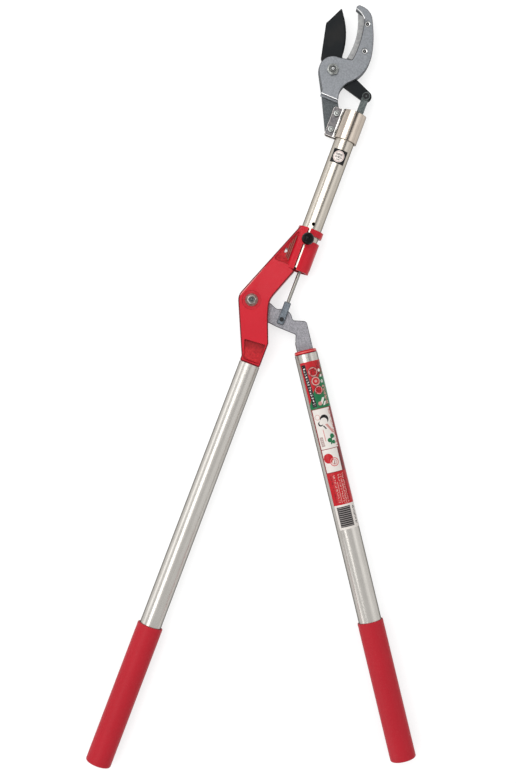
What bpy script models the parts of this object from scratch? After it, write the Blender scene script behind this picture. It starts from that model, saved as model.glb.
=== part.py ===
"""Two-handed pole lopper: a fixed left handle and pole, and a right handle that works an anvil blade.

The tool lies on its back. +Y runs along the pole towards the blade, +X towards the moving handle, +Z up.
Sizes are in metres. Outlines are drawn in the plane of the tool, and heights are measured from the middle
of the tubes. The right handle turns the lever on the main pivot; the lever pulls the push rod inside the
pole, and the rod turns the blade on its own pivot against the anvil.
"""

import math

import bmesh
import bpy
from mathutils import Vector

# Clearances
FIT = 0.0003
LOOSE_FIT = 0.0005
OVERRUN = 0.0020
OVERLAP = 0.0010
BOLT_END = 0.0008

# Pole and its socket, placed from the main pivot
POLE_DIAMETER = 0.0250
POLE_WALL = 0.0012
POLE_LENGTH = 0.2020
POLE_OFFSET = 0.0389
POLE_SETBACK = 0.0030
SOCKET_FOOT = 0.0540
SOCKET_LENGTH = 0.0545
SOCKET_WALL = 0.0033
SOCKET_LIP = 0.0006
SLIT_WIDTH = 0.0030
SLIT_OFFSET = 0.0022
NOTCH_FOOT = 0.0395
NOTCH_HEIGHT = 0.0070

# Bracket casting
BRACKET_THICKNESS = 0.0240
BRACKET_EDGE = 0.0015
ELBOW_RADIUS = 0.0166
SHOULDER_INSET = 0.0142
FOOT_WIDTH = 0.0260
RIM_WIDTH = 0.0026
RECESS_DEPTH = 0.0025
RIBS = 3
RIB_PITCH = 0.0020
RIB_WIDTH = 0.0009
RIB_HEIGHT = 0.0019
POCKET_DEPTH = 0.0030
SPIGOT_LENGTH = 0.0400
SPIGOT_ROOT = 0.0040
BOLT_RECESS_RADIUS = 0.0119
BOLT_RECESS_DEPTH = 0.0010

# Handles
HANDLE_WALL = 0.0013
LEFT_TUBE_TOP_DIAMETER = 0.0262
LEFT_TUBE_FOOT_DIAMETER = 0.0281
LEFT_HANDLE_START = (0.0256, -0.0750)
LEFT_HANDLE_ANGLE = -0.23
LEFT_HANDLE_LENGTH = 0.5360
LEFT_GRIP_LENGTH = 0.1870
RIGHT_TUBE_DIAMETER = 0.0287
RIGHT_HANDLE_START = (0.0844, -0.0349)
RIGHT_HANDLE_ANGLE = 34.11
RIGHT_HANDLE_LENGTH = 0.5270
RIGHT_GRIP_LENGTH = 0.1795
GRIP_DIAMETER = 0.0326
GRIP_END = 0.0060
GRIP_CROWN = 0.0022
GRIP_CORNER = 0.0022
GRIP_LIP = 0.0009
RING_DIAMETER = 0.0279
RING_HEIGHT = 0.0045
RING_CHAMFER = 0.0012
PLUG_DEPTH = 0.0280
LABEL_START = 0.0150
LABEL_LENGTH = 0.2130
LABEL_FROM = -46.0
LABEL_TO = 154.0
FILM = 0.0002
STICKER_WIDTH = 0.0169
STICKER_LENGTH = 0.0176
STICKER_DROP = 0.0546

# Lever and main pivot
LEVER_THICKNESS = 0.0080
EYE_RADIUS = 0.0120
STUB_WIDTH = 0.0203
TANG_LENGTH = 0.0600
STUB_NOTCH_RADIUS = 0.0014
LEVER_EDGE = 0.0006
BOLT_DIAMETER = 0.0060
BUSH_WALL = 0.0017
MAIN_NUT_FLATS = 0.0100
MAIN_NUT_HEIGHT = 0.0050
MAIN_HEAD_HEIGHT = 0.0040
HEAD_RECESS_DEPTH = 0.0030
WASHER_DIAMETER = 0.0165
WASHER_THICKNESS = 0.0014
WASHER_TEETH = 20
TOOTH_DEPTH = 0.0007
CLOSING_ANGLE = 17.5

# Push rod between the lever and the blade's tail
CLEVIS_ARM = 0.0444
CLEVIS_ANGLE = -12.1
CLEVIS_WIDTH = 0.0086
CLEVIS_PLATE = 0.0030
CLEVIS_FOOT = 0.0064
CLEVIS_HEAD = 0.0225
CLEVIS_EDGE = 0.0006
CLEVIS_WEB = 0.0015
BOSS_RADIUS = 0.0134
CLEVIS_PIN_DIAMETER = 0.0040
CLEVIS_PIN_HEAD = 0.0054
PIN_HEAD_HEIGHT = 0.0010
PIN_CROWN = 0.0001
ROD_DIAMETER = 0.0043
STRAP_WIDTH = 0.0088
STRAP_THICKNESS = 0.0020
STRAP_LENGTH = 0.0420
RIVET_DIAMETER = 0.0030
RIVET_INSET = 0.0060
RIVET_HEAD_DIAMETER = 0.0048
RIVET_HEAD_HEIGHT = 0.0007
TONGUE_WIDTH = 0.0064
TONGUE_ROOT = 0.0090

# Head, placed from the pole's upper end
BLADE_PIVOT_ACROSS = -0.0450
BLADE_PIVOT_ALONG = 0.0447
HOOK_LENGTH = 0.0873
BLADE_THICKNESS = 0.0036
BLADE_GRIND = 0.0024
BLADE_EDGE = 0.0004
BLADE_CLOSING = 15.3
HEEL_RADIUS = 0.0160
TAIL_ARM = 0.0528
TAIL_ANGLE = -17.3
TAIL_RADIUS = 0.0071
TAIL_PIN_DIAMETER = 0.0050
TAIL_PIN_HEAD = 0.0100
TAIL_PIN_HEAD_HEIGHT = 0.0018
HUB_RADIUS = 0.0174
BASE_HUB_RADIUS = 0.0177
HOOK_PLATE_THICKNESS = 0.0050
HOOK_PLATE_EDGE = 0.0007
HEAD_BASE_THICKNESS = 0.0060
SHANK_INSET = 0.0030
PIVOT_BOLT_DIAMETER = 0.0080
PIVOT_NUT_FLATS = 0.0130
PIVOT_NUT_HEIGHT = 0.0060
PIVOT_HEAD_DIAMETER = 0.0130
PIVOT_HEAD_HEIGHT = 0.0079
PIVOT_KEY_FLATS = 0.0060
PIVOT_KEY_DEPTH = 0.0040
ANVIL_TIP_ANGLE = 1.2
ANVIL_HEEL_ANGLE = 0.6
ANVIL_TIP_STEP = (0.0016, 0.0002)
ANVIL_HEEL_STEP = 0.0006
SCREW_HEAD_DIAMETER = 0.0070
SCREW_HEAD_HEIGHT = 0.0022
SCREW_DIAMETER = 0.0036
SCREW_NECK = 0.0005
SCREW_END_INSET = 0.0004
SCREW_KEY_FLATS = 0.0030
SCREW_KEY_DEPTH = 0.0012

# Collar that clamps the pole and the head's shank
COLLAR_SHEET = 0.0024
COLLAR_LENGTH = 0.0370
COLLAR_OVERHANG = 0.0046
COLLAR_FLANGE = 0.0272
COLLAR_CORNER = 0.0028
COLLAR_BOLT_OFFSET = 0.0214
COLLAR_BOLT_PITCH = 0.0208
COLLAR_BOLT_DIAMETER = 0.0040
COLLAR_NUT_FLATS = 0.0070
COLLAR_NUT_HEIGHT = 0.0030
COLLAR_HEAD_HEIGHT = 0.0028
COLLAR_EDGE = 0.0003

# Spring lock in the socket
LOCK_HEIGHT = 0.0399
INDEX_PITCH = 0.0209
LOCK_TRAVEL = 0.0045
LOCK_TIP_REACH = 0.0007
LOCK_FLANGE_RISE = 0.0012
LOCK_HOLE_DIAMETER = 0.0046
LOCK_TIP_DIAMETER = 0.0040
LOCK_STEM_DIAMETER = 0.0030
LOCK_FLANGE_DIAMETER = 0.0054
LOCK_FLANGE_THICKNESS = 0.0008
BARREL_DIAMETER = 0.0080
BARREL_BORE = 0.0060
BARREL_CAP = 0.0012
BOSS_DIAMETER = 0.0136
BOSS_HEIGHT = 0.0045
KNOB_DIAMETER = 0.0156
KNOB_RISE = 0.0010
SPRING_WIRE = 0.0006
SPRING_TURNS = 5
SPRING_CLOSED = 0.0045

# Values worked out from those above
POLE_RADIUS = POLE_DIAMETER / 2
BORE_RADIUS = POLE_RADIUS + FIT
SOCKET_RADIUS = BORE_RADIUS + SOCKET_WALL
SOCKET_TOP = SOCKET_FOOT + SOCKET_LENGTH
POLE_FOOT = SOCKET_FOOT + POLE_SETBACK
POLE_TOP = POLE_FOOT + POLE_LENGTH
BRACKET_FRONT = BRACKET_THICKNESS / 2
LOCK_Y = SOCKET_FOOT + LOCK_HEIGHT
BLADE_PIVOT = (POLE_OFFSET + BLADE_PIVOT_ACROSS, POLE_TOP + BLADE_PIVOT_ALONG)
CHEEK_FACE = BLADE_THICKNESS / 2 + FIT
HOOK_PLATE_FRONT = CHEEK_FACE + HOOK_PLATE_THICKNESS
HEAD_BASE_REAR = CHEEK_FACE + HEAD_BASE_THICKNESS
BOLT_HOLE_RADIUS = BOLT_DIAMETER / 2 + FIT
BUSH_RADIUS = BOLT_HOLE_RADIUS + BUSH_WALL
SLOT_HALF = LEVER_THICKNESS / 2 + FIT
CLEVIS_FRONT = SLOT_HALF + CLEVIS_PLATE
SCREW_FLOOR = HOOK_PLATE_FRONT - SCREW_HEAD_HEIGHT - FIT
BARREL_LENGTH = LOCK_FLANGE_RISE + LOCK_FLANGE_THICKNESS + SPRING_CLOSED + LOCK_TRAVEL + BARREL_CAP

ROUND = 40
SMALL_ROUND = 20

for leftover in list(bpy.data.objects):
    bpy.data.objects.remove(leftover, do_unlink=True)
PARTS = bpy.data.collections.new("pole_lopper")
CUTTERS = bpy.data.collections.new("pole_lopper_cutters")
bpy.context.scene.collection.children.link(PARTS)
bpy.context.scene.collection.children.link(CUTTERS)


# Plane geometry

def polar(radius, degrees, centre=(0.0, 0.0)):
    """Point at a radius and direction from a centre."""
    angle = math.radians(degrees)
    return (centre[0] + radius * math.cos(angle), centre[1] + radius * math.sin(angle))


def turned_point(point, degrees, centre=(0.0, 0.0)):
    """Point turned counter-clockwise about a centre."""
    across = point[0] - centre[0]
    along = point[1] - centre[1]
    cosine = math.cos(math.radians(degrees))
    sine = math.sin(math.radians(degrees))
    return (centre[0] + across * cosine - along * sine, centre[1] + across * sine + along * cosine)


def shifted(points, offset):
    """Points moved by an offset; a corner's radius is kept."""
    return [(p[0] + offset[0], p[1] + offset[1], *p[2:]) for p in points]


def arc(centre, radius, start, stop, step=12.0):
    """Points on an arc from start to stop degrees, ends included."""
    count = max(2, math.ceil(abs(stop - start) / step))
    return [polar(radius, start + (stop - start) * i / count, centre) for i in range(count + 1)]


def direction(centre, point):
    """Direction in degrees from a centre to a point."""
    return math.degrees(math.atan2(point[1] - centre[1], point[0] - centre[0]))


def circle_through(first, middle, last):
    """Centre and radius of the circle through three points."""
    ax, ay = middle[0] - first[0], middle[1] - first[1]
    bx, by = last[0] - first[0], last[1] - first[1]
    scale = 2 * (ax * by - ay * bx)
    a2, b2 = ax * ax + ay * ay, bx * bx + by * by
    ux = (by * a2 - ay * b2) / scale
    uy = (ax * b2 - bx * a2) / scale
    return (first[0] + ux, first[1] + uy), math.hypot(ux, uy)


def arc_through(first, middle, last, count=6):
    """Points on the arc from first to last through middle, ends included."""
    centre, radius = circle_through(first, middle, last)
    start = direction(centre, first)
    half = (direction(centre, middle) - start + 180) % 360 - 180
    rest = (direction(centre, last) - direction(centre, middle) + 180) % 360 - 180
    return [polar(radius, start + (half + rest) * i / count, centre) for i in range(count + 1)]


def tangent_direction(point, centre, radius, side):
    """Direction from the centre at which a line from the point touches the circle."""
    distance = math.hypot(point[0] - centre[0], point[1] - centre[1])
    spread = math.degrees(math.acos(min(1.0, radius / distance)))
    return direction(centre, point) + side * spread


def rounded(corners, step=18.0):
    """Closed outline in which each corner (x, y, radius) becomes an arc, limited by its sides."""
    outline = []
    for index, corner in enumerate(corners):
        here = Vector(corner[:2])
        radius = corner[2] if len(corner) > 2 else 0.0
        to_last = Vector(corners[index - 1][:2]) - here
        to_next = Vector(corners[(index + 1) % len(corners)][:2]) - here
        if radius <= 0.0:
            outline.append((here.x, here.y))
            continue
        half = to_last.angle(to_next) / 2
        reach = min(radius / math.tan(half), 0.49 * to_last.length, 0.49 * to_next.length)
        radius = reach * math.tan(half)
        start = here + to_last.normalized() * reach
        stop = here + to_next.normalized() * reach
        middle = here + (to_last.normalized() + to_next.normalized()).normalized() * radius / math.sin(half)
        centre = (middle.x, middle.y)
        first = direction(centre, start)
        sweep = (direction(centre, stop) - first + 180) % 360 - 180
        outline += arc(centre, radius, first, first + sweep, step)
    return outline


# Meshes and objects

def weld(mesh):
    """Merge loose caps, join coplanar triangles and turn all faces outwards."""
    shape = bmesh.new()
    shape.from_mesh(mesh)
    bmesh.ops.remove_doubles(shape, verts=shape.verts, dist=1e-7)
    bmesh.ops.dissolve_limit(shape, angle_limit=math.radians(0.05), verts=shape.verts, edges=shape.edges)
    bmesh.ops.recalc_face_normals(shape, faces=shape.faces)
    shape.to_mesh(mesh)
    shape.free()
    return mesh


def plate_mesh(name, outline, thickness):
    """Flat plate from a closed outline, centred on its own middle plane."""
    curve = bpy.data.curves.new(name, "CURVE")
    curve.dimensions = "2D"
    curve.fill_mode = "BOTH"
    curve.extrude = thickness / 2
    spline = curve.splines.new("POLY")
    spline.points.add(len(outline) - 1)
    spline.use_cyclic_u = True
    for point, place in zip(spline.points, outline):
        point.co = (place[0], place[1], 0.0, 1.0)
    drawn = bpy.data.objects.new(name + "_outline", curve)
    bpy.context.scene.collection.objects.link(drawn)
    graph = bpy.context.evaluated_depsgraph_get()
    mesh = bpy.data.meshes.new_from_object(drawn.evaluated_get(graph))
    bpy.data.objects.remove(drawn)
    bpy.data.curves.remove(curve)
    return weld(mesh)


def prism_mesh(name, radius, depth, sides=SMALL_ROUND):
    """Round or many-sided bar along Z, centred on its middle."""
    mesh = bpy.data.meshes.new(name)
    shape = bmesh.new()
    bmesh.ops.create_cone(shape, cap_ends=True, segments=sides, radius1=radius, radius2=radius, depth=depth)
    shape.to_mesh(mesh)
    shape.free()
    return mesh


def hexagon_mesh(name, across_flats, depth):
    """Six-sided bar of the given width across its flats."""
    return prism_mesh(name, across_flats / math.sqrt(3), depth, 6)


def box_mesh(name, width, length, height):
    """Box centred on its middle."""
    mesh = bpy.data.meshes.new(name)
    shape = bmesh.new()
    bmesh.ops.create_cube(shape, size=1.0)
    bmesh.ops.scale(shape, vec=(width, length, height), verts=shape.verts)
    shape.to_mesh(mesh)
    shape.free()
    return mesh


def material(name, colour, roughness, metallic):
    """Principled material of one colour."""
    made = bpy.data.materials.new(name)
    made.use_nodes = True
    shader = made.node_tree.nodes["Principled BSDF"]
    shader.inputs["Base Color"].default_value = (*colour, 1.0)
    shader.inputs["Roughness"].default_value = roughness
    shader.inputs["Metallic"].default_value = metallic
    made.diffuse_color = (*colour, 1.0)
    return made


def empty(name, parent=None, at=(0.0, 0.0, 0.0), turn=0.0):
    """Axis marker, turned about Z by degrees."""
    made = bpy.data.objects.new(name, None)
    made.empty_display_size = 0.02
    made.location = at
    made.rotation_euler = (0.0, 0.0, math.radians(turn))
    made.parent = parent
    PARTS.objects.link(made)
    return made


def add(name, mesh, finish, parent, at=(0.0, 0.0, 0.0)):
    """Visible piece under its parent."""
    made = bpy.data.objects.new(name, mesh)
    mesh.materials.append(finish)
    made.parent = parent
    made.location = at
    PARTS.objects.link(made)
    return made


def add_turned(name, profile, finish, parent, at=(0.0, 0.0, 0.0), sides=ROUND, closed=False, lying=False):
    """Turned piece: a (radius, height) profile swept round Z, or laid along Y."""
    mesh = bpy.data.meshes.new(name)
    edges = [(i, i + 1) for i in range(len(profile) - 1)]
    if closed:
        edges.append((len(profile) - 1, 0))
    mesh.from_pydata([(radius, 0.0, height) for radius, height in profile], edges, [])
    made = add(name, mesh, finish, parent, at)
    if lying:
        made.rotation_euler = (math.radians(-90.0), 0.0, 0.0)
    screw = made.modifiers.new("turn", "SCREW")
    screw.steps = sides
    screw.render_steps = sides
    screw.use_merge_vertices = True
    screw.merge_threshold = 1e-6
    screw.use_smooth_shade = True
    return made


def combine(target, operation, mesh, at=(0.0, 0.0, 0.0), turn=(0.0, 0.0, 0.0)):
    """Cut a shape from a piece, or join it on. The shape is placed under the piece's own parent."""
    label = target.name + "_" + operation.lower() + "_" + str(len(target.modifiers))
    tool = bpy.data.objects.new(label, mesh)
    tool.parent = target.parent
    tool.location = at
    tool.rotation_euler = [math.radians(angle) for angle in turn]
    tool.hide_render = True
    tool.display_type = "WIRE"
    CUTTERS.objects.link(tool)
    change = target.modifiers.new(label, "BOOLEAN")
    change.operation = operation
    change.object = tool


def bevel(target, width, segments=2):
    """Round the sharp edges that a piece has at this point."""
    change = target.modifiers.new("edge", "BEVEL")
    change.width = width
    change.segments = segments
    change.limit_method = "ANGLE"
    change.angle_limit = math.radians(40.0)


def drill(target, place, radius, depth=0.08, height=0.0, sides=SMALL_ROUND):
    """Round hole along Z through a piece, or a blind one about a given height."""
    combine(target, "DIFFERENCE", prism_mesh("hole", radius, depth, sides), (*place, height))


def sunk(target, outline, floor, front):
    """Recess of a given outline from the front down to its floor height."""
    depth = front + OVERRUN - floor
    combine(target, "DIFFERENCE", plate_mesh("recess", outline, depth), (0.0, 0.0, floor + depth / 2))


def stack_pin(name, finish, parent, place, shank, rear, front, sides=SMALL_ROUND):
    """Round bar between two heights."""
    mesh = prism_mesh(name, shank / 2, front - rear, sides)
    return add(name, mesh, finish, parent, (*place, (front + rear) / 2))


# Finishes read from the photograph

def finishes():
    """Materials by use."""
    return {
        "casting": material("red_casting", (0.60, 0.035, 0.045), 0.35, 0.0),
        "grip": material("red_grip", (0.45, 0.030, 0.040), 0.45, 0.0),
        "tube": material("anodised_tube", (0.62, 0.60, 0.57), 0.28, 1.0),
        "lever": material("cast_grey", (0.36, 0.36, 0.39), 0.45, 1.0),
        "hook": material("cast_light", (0.46, 0.46, 0.49), 0.38, 1.0),
        "base": material("painted_base", (0.09, 0.10, 0.12), 0.45, 0.4),
        "blade": material("coated_blade", (0.02, 0.02, 0.022), 0.35, 0.2),
        "anvil": material("anvil_alloy", (0.58, 0.57, 0.55), 0.50, 1.0),
        "steel": material("zinc_steel", (0.55, 0.54, 0.50), 0.32, 1.0),
        "stainless": material("polished_stainless", (0.72, 0.69, 0.64), 0.14, 1.0),
        "dark_steel": material("dark_steel", (0.13, 0.15, 0.17), 0.42, 0.8),
        "knob": material("black_knob", (0.012, 0.012, 0.014), 0.18, 0.0),
        "film": material("printed_film", (0.70, 0.08, 0.08), 0.30, 0.0),
        "bush": material("bronze_bush", (0.42, 0.28, 0.14), 0.40, 1.0),
    }


# Handles

def handle_tube(name, finish, parent, top, length, top_diameter, foot_diameter):
    """Aluminium tube hanging along -Y from a height, with an even wall and a slight taper if asked."""
    upper, lower = top_diameter / 2, foot_diameter / 2
    profile = [
        (upper, 0.0),
        (lower, -length),
        (lower - HANDLE_WALL, -length),
        (upper - HANDLE_WALL, 0.0),
    ]
    add_turned(name, profile, finish, parent, (0.0, top, 0.0), closed=True, lying=True)


def handle_grip(name, finish, parent, handle_length, grip_length, bore_radius):
    """Sleeve with a domed closed end, bored for its tube."""
    outer = GRIP_DIAMETER / 2
    foot = GRIP_CROWN - grip_length
    corner = min(GRIP_CORNER, (outer - bore_radius) * 0.9)
    lip = min(GRIP_LIP, (outer - bore_radius) * 0.4)
    profile = [
        (0.0, GRIP_END - grip_length),
        (bore_radius, GRIP_END - grip_length),
        (bore_radius, 0.0),
        (outer - lip, 0.0),
        (outer - lip * 0.3, -lip * 0.3),
        (outer, -lip),
    ]
    profile += [polar(corner, -angle, (outer - corner, foot + corner)) for angle in (0, 30, 60, 80)]
    crown_radius = outer - corner
    profile += [(crown_radius * 0.6, foot - GRIP_CROWN * 0.7), (0.0, -grip_length)]
    top = grip_length - handle_length
    add_turned(name, profile, finish, parent, (0.0, top, 0.0), lying=True)


def build_handles(looks, frame, lever_pivot):
    """Both handles, each along its own axis marker, whose +Y points up to the head."""
    left = empty("left_handle_axis", frame, (*LEFT_HANDLE_START, 0.0), LEFT_HANDLE_ANGLE)
    right = empty("right_handle_axis", lever_pivot, (*RIGHT_HANDLE_START, 0.0), RIGHT_HANDLE_ANGLE)
    inside = GRIP_END + FIT
    handle_tube("left_handle_tube", looks["tube"], left, -FIT, LEFT_HANDLE_LENGTH - inside - FIT,
                LEFT_TUBE_TOP_DIAMETER, LEFT_TUBE_FOOT_DIAMETER)
    handle_grip("left_grip", looks["grip"], left, LEFT_HANDLE_LENGTH, LEFT_GRIP_LENGTH,
                LEFT_TUBE_FOOT_DIAMETER / 2 + FIT)
    tube_top = -RING_HEIGHT - FIT
    handle_tube("right_handle_tube", looks["tube"], right, tube_top,
                RIGHT_HANDLE_LENGTH - inside + tube_top, RIGHT_TUBE_DIAMETER, RIGHT_TUBE_DIAMETER)
    handle_grip("right_grip", looks["grip"], right, RIGHT_HANDLE_LENGTH, RIGHT_GRIP_LENGTH,
                RIGHT_TUBE_DIAMETER / 2 + FIT)
    build_plug(looks, right)
    build_film("handle_label", looks["film"], right, RIGHT_TUBE_DIAMETER / 2, (LABEL_FROM, LABEL_TO),
               (-LABEL_START - LABEL_LENGTH, -LABEL_START))


def build_plug(looks, right):
    """Red ring and skirt that close the tube's mouth round the lever's tang."""
    skirt = RIGHT_TUBE_DIAMETER / 2 - HANDLE_WALL - FIT
    rim = RING_DIAMETER / 2
    profile = [
        (0.0, 0.0),
        (rim - RING_CHAMFER, 0.0),
        (rim, -RING_CHAMFER),
        (rim, -RING_HEIGHT),
        (skirt, -RING_HEIGHT),
        (skirt, -PLUG_DEPTH),
        (0.0, -PLUG_DEPTH),
    ]
    plug = add_turned("tube_plug", profile, looks["casting"], right, sides=28, lying=True)
    mouth = box_mesh("mouth", STUB_WIDTH + 2 * FIT, 2 * PLUG_DEPTH + OVERRUN, LEVER_THICKNESS + 2 * FIT)
    combine(plug, "DIFFERENCE", mouth)


def build_film(name, finish, parent, tube_radius, spread, reach, centre=0.0):
    """Thin film round part of a tube that lies along Y; spread is in degrees from +Z towards +X."""
    radius = tube_radius + FILM
    count = math.ceil(abs(spread[1] - spread[0]) / 7.5)
    mesh = bpy.data.meshes.new(name)
    places = []
    for step in range(count + 1):
        x, z = polar(radius, 90 - spread[0] - (spread[1] - spread[0]) * step / count, (centre, 0.0))
        places += [(x, reach[0], z), (x, reach[1], z)]
    mesh.from_pydata(places, [], [(2 * i, 2 * i + 2, 2 * i + 3, 2 * i + 1) for i in range(count)])
    film = add(name, mesh, finish, parent)
    skin = film.modifiers.new("skin", "SOLIDIFY")
    skin.thickness = FILM
    skin.offset = 1.0


# Fixed frame

def foot_point(across, along):
    """Point in the left handle's own axes, given in the tool's plane."""
    turned = turned_point((across, along), LEFT_HANDLE_ANGLE)
    return (LEFT_HANDLE_START[0] + turned[0], LEFT_HANDLE_START[1] + turned[1])


def bracket_outline():
    """Dog-leg outline: the elbow is an arc about the main pivot between two straight edges."""
    shoulder = (POLE_OFFSET - SHOULDER_INSET, SOCKET_TOP - SOCKET_LIP)
    foot_left = foot_point(-FOOT_WIDTH / 2, 0.0061)
    first = tangent_direction(shoulder, (0.0, 0.0), ELBOW_RADIUS, 1)
    last = tangent_direction(foot_left, (0.0, 0.0), ELBOW_RADIUS, -1) % 360
    corners = [shoulder]
    corners += arc((0.0, 0.0), ELBOW_RADIUS, first, last)
    corners += [
        (*foot_left, 0.004),
        (*foot_point(-FOOT_WIDTH / 2, 0.0), 0.0),
        (*foot_point(FOOT_WIDTH / 2, 0.0), 0.0),
        (*foot_point(FOOT_WIDTH / 2, 0.0315), 0.004),
        (0.0268, -0.0135, 0.030),
        (0.0205, 0.0074, 0.024),
        (POLE_OFFSET - 0.0005, SOCKET_FOOT + 0.0012, 0.0),
        (POLE_OFFSET, SOCKET_TOP - SOCKET_LIP, 0.0),
    ]
    return rounded(corners)


def recess_outline():
    """Triangular recess beside the socket, held inside the shoulder's slanted edge."""
    return rounded([
        (POLE_OFFSET - 0.0122, SOCKET_TOP - 0.0075, 0.0010),
        (POLE_OFFSET - 0.0152, SOCKET_TOP - 0.0100, 0.0010),
        (POLE_OFFSET - 0.0302, SOCKET_TOP - 0.0480, 0.0020),
        (POLE_OFFSET - 0.0290, SOCKET_TOP - 0.0512, 0.0020),
        (POLE_OFFSET - 0.0105, SOCKET_FOOT + 0.0030, 0.0010),
        (POLE_OFFSET - 0.0090, SOCKET_FOOT + 0.0060, 0.0010),
    ])


def pocket_outline():
    """Pocket in the foot, one rim inside the edge."""
    side = FOOT_WIDTH / 2 - RIM_WIDTH
    return rounded([
        (*foot_point(-side - 0.0066, 0.0265), 0.0010),
        (*foot_point(side, 0.0285), 0.0010),
        (*foot_point(side, 0.0030), 0.0015),
        (*foot_point(-side, 0.0025), 0.0080),
        (*foot_point(-side - 0.0008, 0.0105), 0.0040),
    ])


def slot_outline():
    """Space swept by the lever's neck from rest to closed, with a running clearance."""
    radius = EYE_RADIUS + LOOSE_FIT
    upper = (0.0300, 0.0052)
    lower = turned_point((0.0310, -0.0185 - 2 * LOOSE_FIT), -CLOSING_ANGLE)
    first = tangent_direction(upper, (0.0, 0.0), radius, 1)
    last = tangent_direction(lower, (0.0, 0.0), radius, -1) % 360
    beyond = (lower[0] * 1.8, lower[1] * 1.45)
    mouth = [lower, beyond, (0.0600, beyond[1]), (0.0600, upper[1])]
    return [upper] + arc((0.0, 0.0), radius, first, last) + mouth


def build_bracket(looks, frame):
    """Red casting: slab with a slit socket, lock boss, lever slot and a spigot for the left handle."""
    slab = plate_mesh("bracket", bracket_outline(), BRACKET_THICKNESS)
    bracket = add("bracket", slab, looks["casting"], frame)
    bevel(bracket, BRACKET_EDGE)
    recess_floor = BRACKET_FRONT - RECESS_DEPTH
    sunk(bracket, recess_outline(), recess_floor, BRACKET_FRONT)
    for rib in range(RIBS):
        across = POLE_OFFSET - 0.0143 - RIB_PITCH * rib
        top = SOCKET_TOP - 0.0145 - 0.0052 * rib
        foot = SOCKET_FOOT + 0.0085 + 0.0015 * rib
        mesh = box_mesh("rib", RIB_WIDTH, top - foot, 2 * RIB_HEIGHT)
        combine(bracket, "UNION", mesh, (across, (top + foot) / 2, recess_floor))
    sunk(bracket, pocket_outline(), BRACKET_FRONT - POCKET_DEPTH, BRACKET_FRONT)
    socket = prism_mesh("socket", SOCKET_RADIUS, SOCKET_LENGTH, ROUND)
    combine(bracket, "UNION", socket, (POLE_OFFSET, SOCKET_FOOT + SOCKET_LENGTH / 2, 0.0), (90, 0, 0))
    notch_width = SOCKET_RADIUS + SLIT_OFFSET + OVERRUN
    notch = box_mesh("notch", notch_width, NOTCH_HEIGHT, 3 * SOCKET_RADIUS)
    notch_y = SOCKET_FOOT + NOTCH_FOOT + NOTCH_HEIGHT / 2
    combine(bracket, "DIFFERENCE", notch, (POLE_OFFSET - SLIT_OFFSET + notch_width / 2, notch_y, 0.0))
    boss_top = POLE_RADIUS + BOSS_HEIGHT
    boss_foot = POLE_RADIUS * 0.6
    boss = prism_mesh("boss", BOSS_DIAMETER / 2, boss_top - boss_foot, 28)
    combine(bracket, "UNION", boss, (POLE_OFFSET, LOCK_Y, (boss_top + boss_foot) / 2))
    bore = prism_mesh("bore", BORE_RADIUS, SOCKET_LENGTH + 2 * OVERRUN, ROUND)
    combine(bracket, "DIFFERENCE", bore, (POLE_OFFSET, SOCKET_FOOT + SOCKET_LENGTH / 2, 0.0), (90, 0, 0))
    build_slit(bracket)
    drill(bracket, (POLE_OFFSET, LOCK_Y), BARREL_DIAMETER / 2 + FIT, SOCKET_RADIUS, SOCKET_RADIUS)
    slot = plate_mesh("slot", slot_outline(), 2 * SLOT_HALF)
    combine(bracket, "DIFFERENCE", slot)
    passage = box_mesh("passage", 0.0200, 0.0300, ROD_DIAMETER + 4 * LOOSE_FIT)
    combine(bracket, "DIFFERENCE", passage, (POLE_OFFSET - 0.0035 + 0.0100, SOCKET_FOOT - 0.0100, 0.0))
    drill(bracket, (0.0, 0.0), BOLT_HOLE_RADIUS)
    drill(bracket, (0.0, 0.0), BOLT_RECESS_RADIUS, 0.01, BRACKET_FRONT - BOLT_RECESS_DEPTH + 0.005, 36)
    head_hole = MAIN_NUT_FLATS / math.sqrt(3) + LOOSE_FIT
    drill(bracket, (0.0, 0.0), head_hole, 0.01, HEAD_RECESS_DEPTH - BRACKET_FRONT - 0.005)
    hole = rounded([(-0.0020, -0.0031, 0.0008), (0.0002, -0.0031, 0.0025), (0.0024, 0.0, 0.0026),
                    (0.0002, 0.0031, 0.0025), (-0.0020, 0.0031, 0.0008)])
    casting_hole = plate_mesh("casting_hole", hole, 0.04)
    combine(bracket, "DIFFERENCE", casting_hole, (POLE_OFFSET - 0.0200, SOCKET_FOOT + 0.0190, 0.0))
    spigot_radius = LEFT_TUBE_TOP_DIAMETER / 2 - HANDLE_WALL - FIT
    spigot = prism_mesh("spigot", spigot_radius, SPIGOT_LENGTH, ROUND)
    middle = foot_point(0.0, SPIGOT_ROOT - SPIGOT_LENGTH / 2)
    combine(bracket, "UNION", spigot, (*middle, 0.0), (90, 180 / ROUND, LEFT_HANDLE_ANGLE))


def build_slit(bracket):
    """Clamping slit down the front of the socket, broken by the lock boss."""
    boss_reach = BOSS_DIAMETER / 2
    spans = (
        (SOCKET_FOOT - OVERRUN, LOCK_Y - boss_reach),
        (LOCK_Y + boss_reach - 0.0006, SOCKET_TOP + OVERRUN),
    )
    for foot, top in spans:
        slit = box_mesh("slit", SLIT_WIDTH, top - foot, 2 * SOCKET_RADIUS)
        combine(bracket, "DIFFERENCE", slit, (POLE_OFFSET - SLIT_OFFSET, (foot + top) / 2, SOCKET_RADIUS))


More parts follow.
